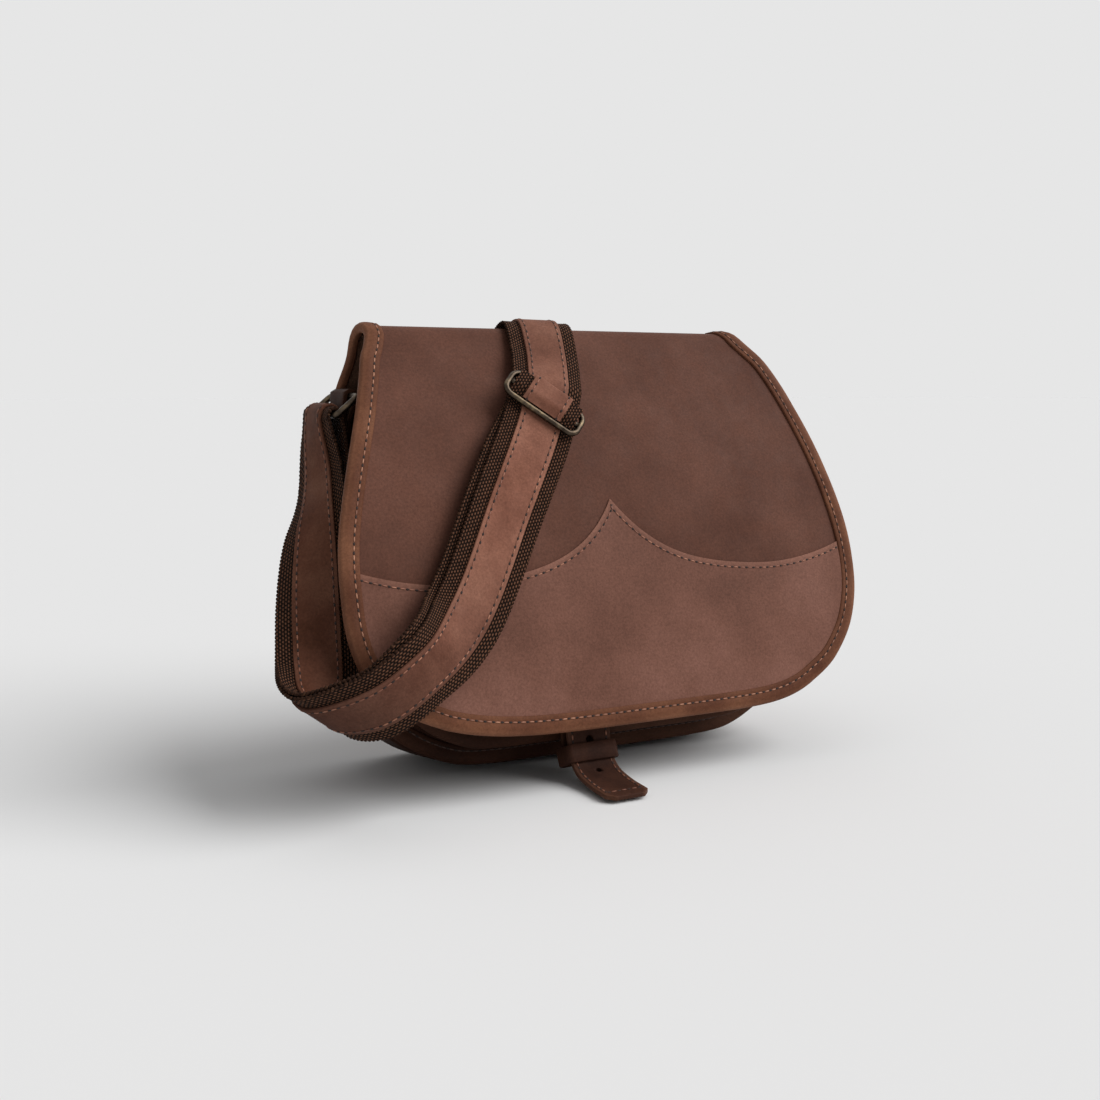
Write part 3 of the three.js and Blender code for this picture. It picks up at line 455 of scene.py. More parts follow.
def make_piece(name, points, faces, materials, face_slots=None, uvs=None, bevel=0.0, wear=None):
    """A smooth-shaded mesh object from points in millimetres."""
    mesh = bpy.data.meshes.new(name)
    mesh.from_pydata([tuple(float(c) * MM for c in p) for p in points], [], faces)
    for m in materials:
        mesh.materials.append(m)
    if face_slots is not None:
        mesh.polygons.foreach_set("material_index", face_slots)
    if uvs is not None:
        layer = mesh.uv_layers.new(name="weave")
        corner = np.zeros(len(mesh.loops), dtype=np.int32)
        mesh.loops.foreach_get("vertex_index", corner)
        layer.data.foreach_set("uv", (np.asarray(uvs, float)[corner] * MM).astype(np.float32).ravel())
    if wear is not None:
        mesh.attributes.new("wear", "FLOAT", "POINT").data.foreach_set("value", np.asarray(wear, np.float32))
    mesh.validate()
    edit = bmesh.new()
    edit.from_mesh(mesh)
    bmesh.ops.recalc_face_normals(edit, faces=edit.faces)
    edit.to_mesh(mesh)
    edit.free()
    mesh.polygons.foreach_set("use_smooth", [True] * len(mesh.polygons))
    piece = add_object(name, mesh)
    if bevel:
        round_edges(piece, bevel)
    return piece


def round_edges(piece, width):
    """Softens the sharp edges of a cut piece and keeps the result."""
    cutter = piece.modifiers.new("edges", "BEVEL")
    cutter.width = width * MM
    cutter.segments = 2
    cutter.limit_method = "ANGLE"
    cutter.angle_limit = math.radians(50)
    keep_result(piece)


def keep_result(piece):
    """Makes what the modifiers give the piece's own mesh."""
    graph = bpy.context.evaluated_depsgraph_get()
    mesh = bpy.data.meshes.new_from_object(piece.evaluated_get(graph))
    old = piece.data
    piece.modifiers.clear()
    piece.data = mesh
    mesh.name = piece.name
    bpy.data.meshes.remove(old)


def sheet_piece(name, face, front, back, materials, uv=None, bevel=SHEET_BEVEL, wear=None):
    """A sheet between two offsets of a grid of points; the second material is for its back."""
    grids = face(front), face(back)
    rows, columns = len(grids[0]), len(grids[0][0])
    points = [p for grid in grids for row in grid for p in row]
    at = lambda side, i, j: (side * rows + i) * columns + j
    faces, slots = [], []
    back_slot = 1 if len(materials) > 1 else 0
    for i in range(rows - 1):
        for j in range(columns - 1):
            faces.append((at(0, i, j), at(0, i, j + 1), at(0, i + 1, j + 1), at(0, i + 1, j)))
            faces.append((at(1, i, j), at(1, i + 1, j), at(1, i + 1, j + 1), at(1, i, j + 1)))
            slots += [0, back_slot]
    right, low = columns - 1, rows - 1
    for i in range(rows - 1):
        faces.append((at(0, i, 0), at(0, i + 1, 0), at(1, i + 1, 0), at(1, i, 0)))
        faces.append((at(0, i, right), at(1, i, right), at(1, i + 1, right), at(0, i + 1, right)))
    for j in range(columns - 1):
        faces.append((at(0, 0, j), at(1, 0, j), at(1, 0, j + 1), at(0, 0, j + 1)))
        faces.append((at(0, low, j), at(0, low, j + 1), at(1, low, j + 1), at(1, low, j)))
    slots += [0] * (len(faces) - len(slots))
    uvs = None if uv is None else np.tile(uv.reshape(-1, 2), (2, 1))
    both = None if wear is None else np.tile(np.ravel(wear), 2)
    return make_piece(name, points, faces, materials, slots, uvs, bevel, both)


def swept_piece(name, rings, materials, closed=False, wear=None):
    """A skin over rings of points, closed in a loop or capped at both ends."""
    count, n = len(rings), len(rings[0])
    points = [p for ring in rings for p in ring]
    faces = []
    for k in range(count if closed else count - 1):
        m = (k + 1) % count
        for i in range(n):
            j = (i + 1) % n
            faces.append((k * n + i, k * n + j, m * n + j, m * n + i))
    if not closed:
        faces.append(tuple(range(n))[::-1])
        faces.append(tuple((count - 1) * n + i for i in range(n)))
    return make_piece(name, points, faces, materials, wear=None if wear is None else np.tile(wear, count))


def ribbon_piece(name, frames, width, thickness, materials, lift=0.0, columns=9, start=0.0, wear=0.0):
    """A flat band on frames of centre, across and normal; its weave map is in millimetres along and across."""
    centre = frames[0]
    widths = np.broadcast_to(np.asarray(width, float), (len(centre),))
    shares = np.linspace(-0.5, 0.5, columns)
    face = lambda h: [[c + n * (lift + h) + a * (w * v) for v in shares] for c, a, n, w in zip(*frames, widths)]
    uv = np.array([[[u, w * v] for v in shares] for u, w in zip(start + run_lengths(centre), widths)])
    rub = np.tile(wear * (np.abs(shares) > 0.49), (len(centre), 1))
    return sheet_piece(name, face, thickness / 2, -thickness / 2, materials, uv, RIBBON_BEVEL, rub)


def assign(piece, slot, *nodes):
    """Hides the CAD nodes that a piece stands for; the slot argument is not used."""
    if nodes:
        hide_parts(*nodes)


def ride_all(body, *pieces):
    for piece in pieces:
        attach(piece, body)


def blend_hide(*pieces):
    for piece in pieces:
        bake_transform(piece)


# Stitches

STITCH_PITCH = 4.8
STITCH = (3.2, 0.8, 0.55)
PRICK = (2.0, 1.2, 0.45)
SELVEDGE_BEAD = (2.1, 1.5, 2.0)


def sewn_row_tree():
    """Lays one small rounded bead at each point, turned along the seam and up from the leather."""
    tree = bpy.data.node_groups.new("sewn_row", "GeometryNodeTree")
    for name, way, kind in (("Geometry", "INPUT", "Geometry"), ("Bead Size", "INPUT", "Vector"),
                            ("Finish", "INPUT", "Material"), ("Geometry", "OUTPUT", "Geometry")):
        tree.interface.new_socket(name, in_out=way, socket_type="NodeSocket" + kind)
    add = partial(node, tree)
    points = add("NodeGroupInput")
    size, finish = points.node.outputs[1:3]
    face, along = (add("GeometryNodeInputNamedAttribute", data_type="FLOAT_VECTOR", Name=name)
                   for name in ("face", "along"))
    stand = add("FunctionNodeAlignRotationToVector", axis="Z", Vector=face)
    turn = add("FunctionNodeAlignRotationToVector", axis="X", pivot_axis="Z", Rotation=stand, Vector=along)
    bead = add("GeometryNodeMeshUVSphere", Segments=8, Rings=5, Radius=0.5)
    shaped = add("GeometryNodeTransform", bead, Scale=size)
    laid = add("GeometryNodeInstanceOnPoints", add("GeometryNodeMeshToPoints", points), Instance=shaped, Rotation=turn)
    soft = add("GeometryNodeSetShadeSmooth", add("GeometryNodeRealizeInstances", laid))
    painted = add("GeometryNodeSetMaterial", soft, Material=finish)
    feed(tree, tree.nodes.new("NodeGroupOutput"), {0: painted})
    return tree


SEWN_ROW = sewn_row_tree()


def sew(name, places, size, finish):
    """Beads of that size in millimetres at places, each a point, a direction and a normal."""
    mesh = bpy.data.meshes.new(name)
    mesh.from_pydata([tuple(p * MM) for p, _, _ in places], [], [])
    for key, column in (("along", 1), ("face", 2)):
        attribute = mesh.attributes.new(key, "FLOAT_VECTOR", "POINT")
        attribute.data.foreach_set("vector", np.array([row[column] for row in places], np.float32).ravel())
    piece = add_object(name, mesh)
    rows = piece.modifiers.new("sewn_row", "NODES")
    rows.node_group = SEWN_ROW
    names = {item.name: item.identifier for item in SEWN_ROW.interface.items_tree if item.in_out == "INPUT"}
    rows[names["Bead Size"]] = [c * MM for c in size]
    rows[names["Finish"]] = finish
    keep_result(piece)
    return piece


def seam_places(line, normals, pitch=STITCH_PITCH, lift=0.1):
    """Stitches and needle holes along a line of points with normals."""
    line = np.asarray(line)
    count = max(2, int(run_lengths(line)[-1] / pitch))
    dense = resample(np.hstack([line, normals]), 2 * count + 1)
    spots = dense[:, :3]
    along = directions(spots)
    up = square_to(unit(dense[:, 3:]), along)
    stitches = [(spots[k] + up[k] * lift, along[k], up[k]) for k in range(1, 2 * count, 2)]
    holes = [(spots[k] + up[k] * (lift - 0.05), along[k], up[k]) for k in range(0, 2 * count + 1, 2)]
    return stitches, holes


def sew_seams(name, seams, thread):
    """One piece of thread and one of needle holes, dark beads of painted shade, for several seam lines."""
    stitches, holes = (sum(places, []) for places in zip(*(seam_places(*seam) for seam in seams)))
    return (sew(name + "_thread", stitches, STITCH, thread),
            sew(name + "_needle_holes", holes, PRICK, PAINTED_HOLE_SHADE))


def twin_seams(line, across, face, half, height):
    """Two seam lines on a band, that far to each side of its middle."""
    return [(line + across * x + face * height, face) for x in (-half, half)]


# Hide: back, fold and flap in one piece

def hide_side():
    """Half outline of the hide, width and length, from the back's lower edge over the fold to the flap's corner."""
    seam = round_path(side_below(BODY_SIDE, BODY_SIDE[0][1], 60))
    edge = seam + outward(seam) * SEAM_ALLOWANCE
    right = edge[len(edge) // 2 + 1:]
    back = np.stack([right[:, 0], right[:, 1] - FOLD_Z - FOLD_ARC], axis=1)
    front = uniform_spline(FLAP_SIDE, 80)
    fold = np.array([[back[-1, 0], s] for s in np.linspace(back[-1, 1], 0, 24)[1:]])
    return soften(np.vstack([back, fold, front]), -70, 60, 12.0)


def soften(line, start, end, reach):
    """Smooths a half outline between two lengths, so the fold's corner rounds into the flap's side."""
    out = line.copy()
    for k, (w, s) in enumerate(line):
        if start < s < end:
            near = np.exp(-(((line[:, 1] - s) / reach) ** 2))
            share = smooth((s - start) / 25) * smooth((end - s) / 25)
            out[k, 0] += share * ((near * line[:, 0]).sum() / near.sum() - w)
    return out


# How far the hide, as it sits, is wider or narrower than its even half outline: length and change
LEFT_CHANGE = [(-170, 0), (-120, 3), (-80, 7), (-45, 9), (-20, 8.5), (-5, 6.2), (10, 2.4), (25, -1.6), (45, -3.8),
               (65, -3.4), (90, -2), (117, -0.5), (140, 0)]
RIGHT_CHANGE = [(-90, 0), (-50, -1.2), (-24, -0.4), (-14, 2.6), (-8, 5.2), (-2, 7.6), (4, 9.2), (10, 9.5), (18, 8.8),
                (28, 7.7), (40, 6.5), (50, 5.7), (77, 4.6), (95, 3.7), (110, 2.8), (125, 2), (140, 1.2), (155, 0),
                (172, -2.2), (184, -3.5), (194, -4.1), (201, -3.9), (207, -2.3), (212, 0.3), (218, 3.4)]


def sitting_side(change):
    line = uniform_spline(change, 300)
    added = np.interp(HIDE_SIDE[:, 1], line[:, 0], line[:, 1], left=0, right=0)
    return np.stack([HIDE_SIDE[:, 0] + added, HIDE_SIDE[:, 1]], axis=1)


HIDE_SIDE = hide_side()
LEFT_SIDE, RIGHT_SIDE = sitting_side(LEFT_CHANGE), sitting_side(RIGHT_CHANGE)
LEFT_CORNER, RIGHT_CORNER = LEFT_SIDE[-1], RIGHT_SIDE[-1]


def sag(v):
    """Share of the flap's drop across its lower edge, fuller towards the right corner."""
    return 1 - abs(v) ** (4 if v < 0 else 6.8)


def hide_rows():
    """Left and right half widths, length and drop of each row down the hide."""
    top = FLAP_SIDE[0][1]
    share = np.clip(HIDE_SIDE[:, 1] - top, 0, None) / (LEFT_CORNER[1] - top)
    return [(l, r, s, FLAP_DROP * q ** 6) for (l, s), (r, _), q in zip(LEFT_SIDE, RIGHT_SIDE, share)]


def make_hide():
    columns = np.linspace(-1, 1, 57)
    rows = hide_rows()
    face = lambda h: [[sheet_point(v * (l if v < 0 else r), s + drop * sag(v), h) for v in columns]
                      for l, r, s, drop in rows]
    piece = sheet_piece("hide_back_and_flap", face, HIDE / 2, -HIDE / 2, [FLAP_LEATHER, FLESH])
    assign(piece, "flap_leather", "flap_panel", "flap_fold", "back_panel")
    blend_hide(piece)


def flap_bottom(count):
    """The flap's lower edge between its corners."""
    spread = np.linspace(-1, 1, count)[1:-1]
    return np.array([[v * (LEFT_CORNER if v < 0 else RIGHT_CORNER)[0], LEFT_CORNER[1] + FLAP_DROP * sag(v)]
                     for v in spread])


def hide_edge():
    """The hide's whole edge as a closed line of x and length, from the back's lower middle round by the left."""
    line = np.vstack([[[0, HIDE_SIDE[0][1]]], LEFT_SIDE * [-1, 1], flap_bottom(60), RIGHT_SIDE[::-1]])
    return resample(line, 420, closed=True)


BINDING_WIDTH = 8.6
BINDING_SKIN = 1.35
SEAT = HIDE / 2 + 0.1
HIDE_SEAM = 0.66 * BINDING_WIDTH
# How far the bindings turn in under the leather
FLAP_TURN = 9.7
BODY_TURN = 3.2
POCKET_TURN = 2.2


def binding_profile(outer, inner):
    """A soft U: a is outward from the leather's edge, b is off its middle."""
    skin = SEAT + BINDING_SKIN
    nose = [(-1.0 + 2.6 * math.cos(t), (skin + 0.3) * math.sin(t)) for t in np.linspace(1.2, -1.2, 11)]
    face = [(-outer, SEAT - 0.6), (-outer - 0.1, skin - 0.5), (-outer + 0.5, skin - 0.05), (-outer + 2, skin),
            (-outer * 0.68, skin - 0.05), (-outer * 0.5, skin + 0.4), (-outer * 0.32, skin + 0.6),
            (-1.8, skin + 0.5)]
    under = [(-min(2.2, inner * 0.4), -skin), (-inner * 0.7, -skin), (-inner + 0.5, -skin + 0.1),
             (-inner, -skin + 0.6), (-inner, -SEAT), (0.2, -SEAT), (0.2, SEAT)]
    return face + nose + under


def make_hide_binding():
    edge = hide_edge()
    out = outward(edge, closed=True)
    if ((edge - edge.mean(axis=0)) * out).sum() < 0:
        out = -out
    rings = []
    for (x, s), (ox, os) in zip(edge, out):
        inner = BODY_TURN + (FLAP_TURN - BODY_TURN) * smooth((s + 6) / 14)
        rings.append([sheet_point(x + ox * a, s + os * a, b) for a, b in binding_profile(BINDING_WIDTH, inner)])
    crown = [0.9 * math.exp(-(((a - 1) / 2.2) ** 2)) for a, _ in binding_profile(BINDING_WIDTH, FLAP_TURN)]
    piece = swept_piece("hide_edge_binding", rings, [BINDING_LEATHER], closed=True, wear=crown)
    assign(piece, "binding_leather", "flap_binding", "back_binding")
    row = edge - out * HIDE_SEAM
    seam = sheet_seam(np.vstack([row, row[:1]]), HIDE / 2 + BINDING_SKIN + 0.2)
    blend_hide(piece, *sew_seams("hide_edge", [seam], THREAD))


YOKE = 1.0
YOKE_LOW = 147.5
YOKE_PEAK = 43.5
YOKE_SHARP = 5.4
YOKE_EAR = 10.5
YOKE_HALF = 150.5
YOKE_INSET = 6.6
YOKE_SEAM = 3.2


def yoke_top(v):
    """Length down the flap at which the yoke's cut edge lies, at share v across it."""
    side = max(0.0, (abs(v) - 0.6) / 0.4)
    return YOKE_LOW - YOKE_PEAK * math.exp(-YOKE_SHARP * abs(v)) - YOKE_EAR * side * side


def make_yoke():
    low_part = HIDE_SIDE[:, 1] > 60
    edge = np.vstack([LEFT_SIDE[low_part] * [-1, 1], flap_bottom(90), RIGHT_SIDE[low_part][::-1]])
    line = edge + outward(edge) * YOKE_INSET

    def low(x):
        best = 0.0
        for p, q in zip(line[:-1], line[1:]):
            if min(p[0], q[0]) <= x <= max(p[0], q[0]) and p[0] != q[0]:
                best = max(best, p[1] + (q[1] - p[1]) * (x - p[0]) / (q[0] - p[0]))
        return best

    columns = np.linspace(-1, 1, 141)
    down = np.linspace(0, 1, 30) ** 1.6
    depths = [(low(v * YOKE_HALF) - yoke_top(v)) * down for v in columns]
    base = HIDE / 2 - 0.1
    face = lambda h: [[sheet_point(v * YOKE_HALF, yoke_top(v) + d, h) for d in depth]
                      for v, depth in zip(columns, depths)]
    rim = [0.9 * (1 - smooth(depth / 4.5)) for depth in depths]
    piece = sheet_piece("flap_yoke_overlay", face, base + YOKE, base, [YOKE_LEATHER], wear=rim)
    assign(piece, "yoke_leather", "flap_yoke")
    top = np.array([[v * YOKE_HALF, yoke_top(v)] for v in np.linspace(-0.985, 0.985, 160)])
    inward = outward(top)
    inward[inward[:, 1] < 0] *= -1
    seam = sheet_seam(top + inward * YOKE_SEAM, base + YOKE)
    ride_all("flap", piece, *sew_seams("flap_yoke", [seam], RUBBED_THREAD))


# Body: front, pocket, gussets and their bindings

BODY_BINDING = 9.0
BODY_SEAM = 6.4
PANEL_UNEVEN = 1.0
GUSSET_BULGE = 5.0
GUSSET_UNEVEN = 1.2
# The base's rise towards the front: how much, from which y, over what depth, and fading out at what height
BASE_RISE = 5.0
RISE_FROM = 18.0
RISE_DEPTH = 50.0
RISE_FADE = 100.0


def front_y(x, z):
    slope = (FRONT_BOTTOM_Y - FRONT_TOP_Y) / (FRONT_TOP_Z - SEAM_BOTTOM)
    return FRONT_TOP_Y + slope * (FRONT_TOP_Z - z)


def pocket_y(x, z):
    rise = min(1.0, max(0.0, (z - SEAM_BOTTOM) / (POCKET_TOP_Z - SEAM_BOTTOM)))
    swell = math.sin(math.pi * rise) * (1 - (x / 140) ** 2)
    return front_y(x, z) - POCKET_DEPTH - POCKET_BULGE * max(0.0, swell)


def body_piece(piece, node_name, *sewn):
    assign(piece, "body_leather", node_name)
    ride_all("bag", piece, *sewn)


def settle(x, y, z):
    """The base rounds up a little towards the front, where the leather has softened."""
    return np.array([x, y, z + BASE_RISE * smooth((RISE_FROM - y) / RISE_DEPTH) * (1 - smooth(z / RISE_FADE))])


def panel_piece(name, node_name, edge, face_y):
    """A leather panel inside an edge line of x and z."""
    columns = np.linspace(-1, 1, 49)
    rows = resample(edge[len(edge) // 2 + 1:], 60)

    def place(x, z, off):
        inside = 1 - (abs(x) / max(1.0, np.interp(z, rows[:, 1], rows[:, 0]))) ** 4
        return settle(x, face_y(x, z) + off - PANEL_UNEVEN * wander(x, 7, z, 60) * inside, z)

    face = lambda off: [[place(v * w, z, off) for v in columns] for w, z in rows]
    body_piece(sheet_piece(name, face, -HIDE / 2, HIDE / 2, [BODY_LEATHER, FLESH]), node_name)


def panel_binding(name, node_name, edge, face_y, inner):
    """Folded leather sewn over a panel's edge."""
    line = resample(edge, 220)
    out = outward(line)
    profile = binding_profile(BODY_BINDING, inner)
    rings = []
    for (x, z), (ox, oz) in zip(line, out):
        rings.append([settle(x + ox * a, face_y(x + ox * a, z + oz * a) - b, z + oz * a) for a, b in profile])
    piece = swept_piece(name, rings, [BODY_LEATHER])
    seam = [settle(x, face_y(x, z) - SEAT - BINDING_SKIN - 0.1, z) for x, z in line - out * BODY_SEAM]
    front = np.tile([0.0, -1.0, 0.0], (len(seam), 1))
    body_piece(piece, node_name, *sew_seams(name, [(seam, front)], DARK_THREAD))


def gusset_piece(name, node_name, path, near_y, far_y, bulge, uneven):
    """A strip round the sides and base between two panels."""
    line = resample(path, 200)
    out = outward(line)
    shares = np.concatenate([np.linspace(0, 0.2, 7)[:-1], np.linspace(0.2, 0.8, 9), np.linspace(0.8, 1, 7)[1:]])
    flat = np.abs(line[:, 1] - line[:, 1].min()) < 0.6

    def place(k, v, inset):
        (x, z), (ox, oz) = line[k], out[k]
        swell = bulge(z) * smooth(min(v, 1 - v) / 0.2) - inset
        y = near_y(x, z) + (far_y(x, z) - near_y(x, z)) * v
        if not flat[k]:
            swell += uneven * wander(x, y, z, 34) * math.sin(math.pi * v)
        return settle(x + ox * swell, y, max(0.02, z + oz * swell))

    face = lambda inset: [[place(k, v, inset) for v in shares] for k in range(len(line))]
    body_piece(sheet_piece(name, face, 0, GUSSET, [BODY_LEATHER, FLESH]), node_name)


def make_body():
    front_seam = round_path(side_below(BODY_SIDE, FRONT_TOP_Z, 70))
    front_edge = front_seam + outward(front_seam) * SEAM_ALLOWANCE
    pocket_seam = round_path(side_below(BODY_SIDE, POCKET_TOP_Z, 60))
    pocket_seam = pocket_seam - outward(pocket_seam) * POCKET_INSET
    pocket_edge = pocket_seam + outward(pocket_seam) * (SEAM_ALLOWANCE - 1)
    gusset_piece("bag_gusset", "body_gusset", front_seam, lambda x, z: front_y(x, z) + SEAT,
                 lambda x, z: BACK_Y - SEAT, lambda z: GUSSET_BULGE + 3 * smooth((60 - z) / 50), GUSSET_UNEVEN)
    panel_piece("bag_front", "front_panel", front_edge, front_y)
    panel_binding("bag_front_binding", "front_binding", front_edge, front_y, BODY_TURN)
    gusset_piece("pocket_side", "pocket_gusset", pocket_seam, lambda x, z: pocket_y(x, z) + SEAT,
                 lambda x, z: front_y(x, z) - SEAT, lambda z: 2.0, 0.5)
    panel_piece("pocket_front", "pocket_panel", pocket_edge, pocket_y)
    panel_binding("pocket_front_binding", "pocket_binding", pocket_edge, pocket_y, POCKET_TURN)


# Wire fittings

def rounded_rectangle(half, low, high, corner, steps):
    """Outline of a rectangle with round corners, from -half to half and from low to high."""
    line = []
    for cx, cy, start in ((half - corner, low + corner, -90), (half - corner, high - corner, 0),
                          (-half + corner, high - corner, 90), (-half + corner, low + corner, 180)):
        for t in np.radians(np.linspace(start, start + 90, steps + 1)):
            line.append((cx + corner * math.cos(t), cy + corner * math.sin(t)))
    return np.array(line)


def wire_rectangle(opening, wire, corner, centre, across, along):
    """Centre line of a wire bent round a rectangular opening."""
    half_long, half_short = ((side + wire) / 2 for side in opening)
    flat = rounded_rectangle(half_long, -half_short, half_short, corner, 8)
    return np.array([centre + across * x + along * y for x, y in flat])


def wire_piece(name, body, line, diameter, *nodes, closed=False, sides=14, flat=None):
    """Round wire along a line of points; flat is a direction off the line's plane."""
    line = np.asarray(line, float)
    if flat is None:
        flat = np.linalg.svd(line - line.mean(axis=0))[2][2]
    rings = []
    for p, t in zip(line, directions(line, closed)):
        side = unit(np.cross(t, flat))
        up = np.cross(side, t)
        rings.append([p + diameter / 2 * (math.cos(a) * side + math.sin(a) * up)
                      for a in np.linspace(0, 2 * math.pi, sides, endpoint=False)])
    piece = swept_piece(name, rings, [BRASS], closed)
    assign(piece, "metal", *nodes)
    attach(piece, body)


TAB_Y = 17.0
TAB_LOOP = np.array([131.627, 207.822])
TAB_LEATHER = 2.2
TAB_SEAM = 6.48
TAB_SEWN = slice(-16, -1)
TAB_CLEAR = 1.2
# The tab's loop: how far up the side and out from it, and its width
LOOP_AT = (4, 8)
LOOP_WIDTH = 24
RING_OPENING = (42, 12)
RING_WIRE = 3.6
RING_CORNER = 3.2
RING_PITCH = 15.6
RING_HANG = math.radians(40)
STRAIGHT_WIRE = np.array([0.3, 0.2, 0.93])


def ring_bars(side):
    """Middles of a ring's upper bar, in its tab, and its lower bar, in the strap."""
    upper = np.array([side * TAB_LOOP[0], TAB_Y, TAB_LOOP[1]])
    lower = upper + RING_PITCH * np.array([side * math.cos(RING_HANG), 0, -math.sin(RING_HANG)])
    return upper, lower


def make_ring(side, word):
    upper, lower = ring_bars(side)
    line = wire_rectangle(RING_OPENING, RING_WIRE, RING_CORNER, (upper + lower) / 2, np.array([0, 1.0, 0]),
                          unit(lower - upper))
    wire_piece("strap_ring_" + word, "ring_" + word, line, RING_WIRE, "ring_" + word, closed=True)


def make_tab(side, word):
    """Leather loop that is sewn to the gusset and holds the ring."""
    dense = uniform_spline(BODY_SIDE, 800)
    top, low = (dense[int(np.argmax(dense[:, 1] <= z))] for z in (200, 160))
    up = unit(top - low)
    out = np.array([up[1], -up[0]])
    origin = top + out * GUSSET_BULGE
    inner = TAB_CLEAR + TAB_LEATHER / 2
    outer = inner + TAB_LEATHER + GAP
    reach = RING_WIRE / 2 + GAP + TAB_LEATHER / 2
    arc = [(LOOP_AT[0] + reach * math.cos(t), LOOP_AT[1] + reach * math.sin(t), LOOP_WIDTH)
           for t in np.linspace(-math.pi / 2, math.pi / 2, 17)]
    # Up the side, out from it, and width
    places = [(-46, inner, 18), (-30, inner, 18), (-16, inner, 18), (-8, 4.6, 20), *arc, (-8, 8, 20),
              (-16, outer, 18), (-30, outer, 18), (-44, outer, 18)]
    spots = uniform_spline([[*(origin + up * a + out * b), w] for a, b, w in places], 70)
    centre = np.stack([side * spots[:, 0], np.full(len(spots), TAB_Y), spots[:, 1]], axis=1)
    across = np.tile([0.0, 1.0, 0.0], (len(centre), 1))
    normal = np.cross(across, directions(centre))
    piece = ribbon_piece("ring_tab_" + word, (centre, across, normal), spots[:, 2], TAB_LEATHER,
                         [BODY_LEATHER, FLESH])
    face = normal if normal[-1][0] * side > 0 else -normal
    sewn = (rows[TAB_SEWN] for rows in (centre, across, face))
    seams = twin_seams(*sewn, TAB_SEAM, TAB_LEATHER / 2)
    body_piece(piece, "tab_" + word, *sew_seams("ring_tab_" + word, seams, THREAD))


# Shoulder strap

def on_flap(x, s, lift=8.4, lean=0.0):
    """A strap point above the flap, its face leaning a little to the right."""
    y, z, ny, nz = sheet_frame(s)
    h = HIDE / 2 + lift
    return np.array([x, y + ny * h, z + nz * h]), np.array([lean, ny, nz])


def spot(x, y, z, nx, ny, nz):
    return np.array([x, y, z], float), np.array([nx, ny, nz], float)


LEFT_BAR = ring_bars(-1)[1]
RIGHT_BAR = ring_bars(1)[1]
HALF_DOUBLE = 0.6 + WEBBING / 2
RING_SLACK = 4.0
PEEK = 3.8
# Shares of the doubled run: where its layers have met, and start and length of where the lower one shows and hides
LAYERS_MEET = 0.16
PEEK_SHOWS = (0.56, 0.12)
PEEK_HIDES = (0.86, 0.08)
STEPS = 176

# The middle of the doubled run, from the left ring down round the bend and up the flap to the slider
DOUBLED = [
    (LEFT_BAR + [-0.4, 0, -5], np.array([1, 0.05, 0])),
    spot(-146.2, TAB_Y - 7, 168, 0.95, 0.3, 0),
    spot(-156, -11, 138, 0.75, 0.65, 0),
    spot(-163.5, -29, 104, 0.45, 0.9, 0),
    spot(-170, -49, 73.7, 0.1, 0.85, -0.52),
    spot(-176, -69, 57, -0.65, 0.22, -0.72),
    spot(-156.2, -90.5, 61.5, -0.14, -0.91, -0.4),
    spot(-132.6, -93.5, 76, 0, -0.96, -0.26),
    on_flap(-99.5, 164, lean=0.15),
    on_flap(-65.7, 107.5, lean=0.08),
    on_flap(-39.2, 64),
    on_flap(-26.6, 38),
]

# The single run, over the fold and behind the bag to the right ring
SINGLE = [
    on_flap(-20.5, 16, 5.4),
    on_flap(-17, -6, 3.8),
    on_flap(-15.5, -20, 3.6),
    spot(-14.5, BACK_Y + 6, 222, 0, 1, 0),
    spot(-10, BACK_Y + 11, 186, -0.25, 0.95, 0),
    spot(8, BACK_Y + 24, 140, -0.75, 0.6, 0),
    spot(38, BACK_Y + 30, 98, -0.85, 0.2, -0.4),
    spot(88, BACK_Y + 30, 74, 0.05, 0.1, -1),
    spot(140, BACK_Y + 27, 94, 0.85, 0.1, -0.5),
    spot(168, BACK_Y + 6, 138, 0.97, 0, -0.15),
    spot(158, TAB_Y + 2, 178, 1, 0, 0.1),
]
# How far the tail hangs below the right ring's bar
TAIL_DROPS = np.array([8.0, 14, 20, 27, 34])
TAIL_WAY = [0.35, 0, -1]


def lay_out(places, steps):
    """A smooth run through places, each a point and a face: line, direction, face and share of each step."""
    centres, normals = zip(*places)
    shares = np.linspace(0, 1, steps + 1)
    line = np.array([centripetal(centres, t) for t in shares])
    along = directions(line)
    face = square_to(np.array([centripetal(normals, t) for t in shares]), along)
    return line, along, face, shares


def round_bar(bar, start):
    """Half a turn of the strap over a ring's bar."""
    face = np.array([start * math.cos(a) + np.array([0, 0, math.sin(a)]) for a in np.linspace(0, math.pi, 15)])
    return bar + face * RING_SLACK, face


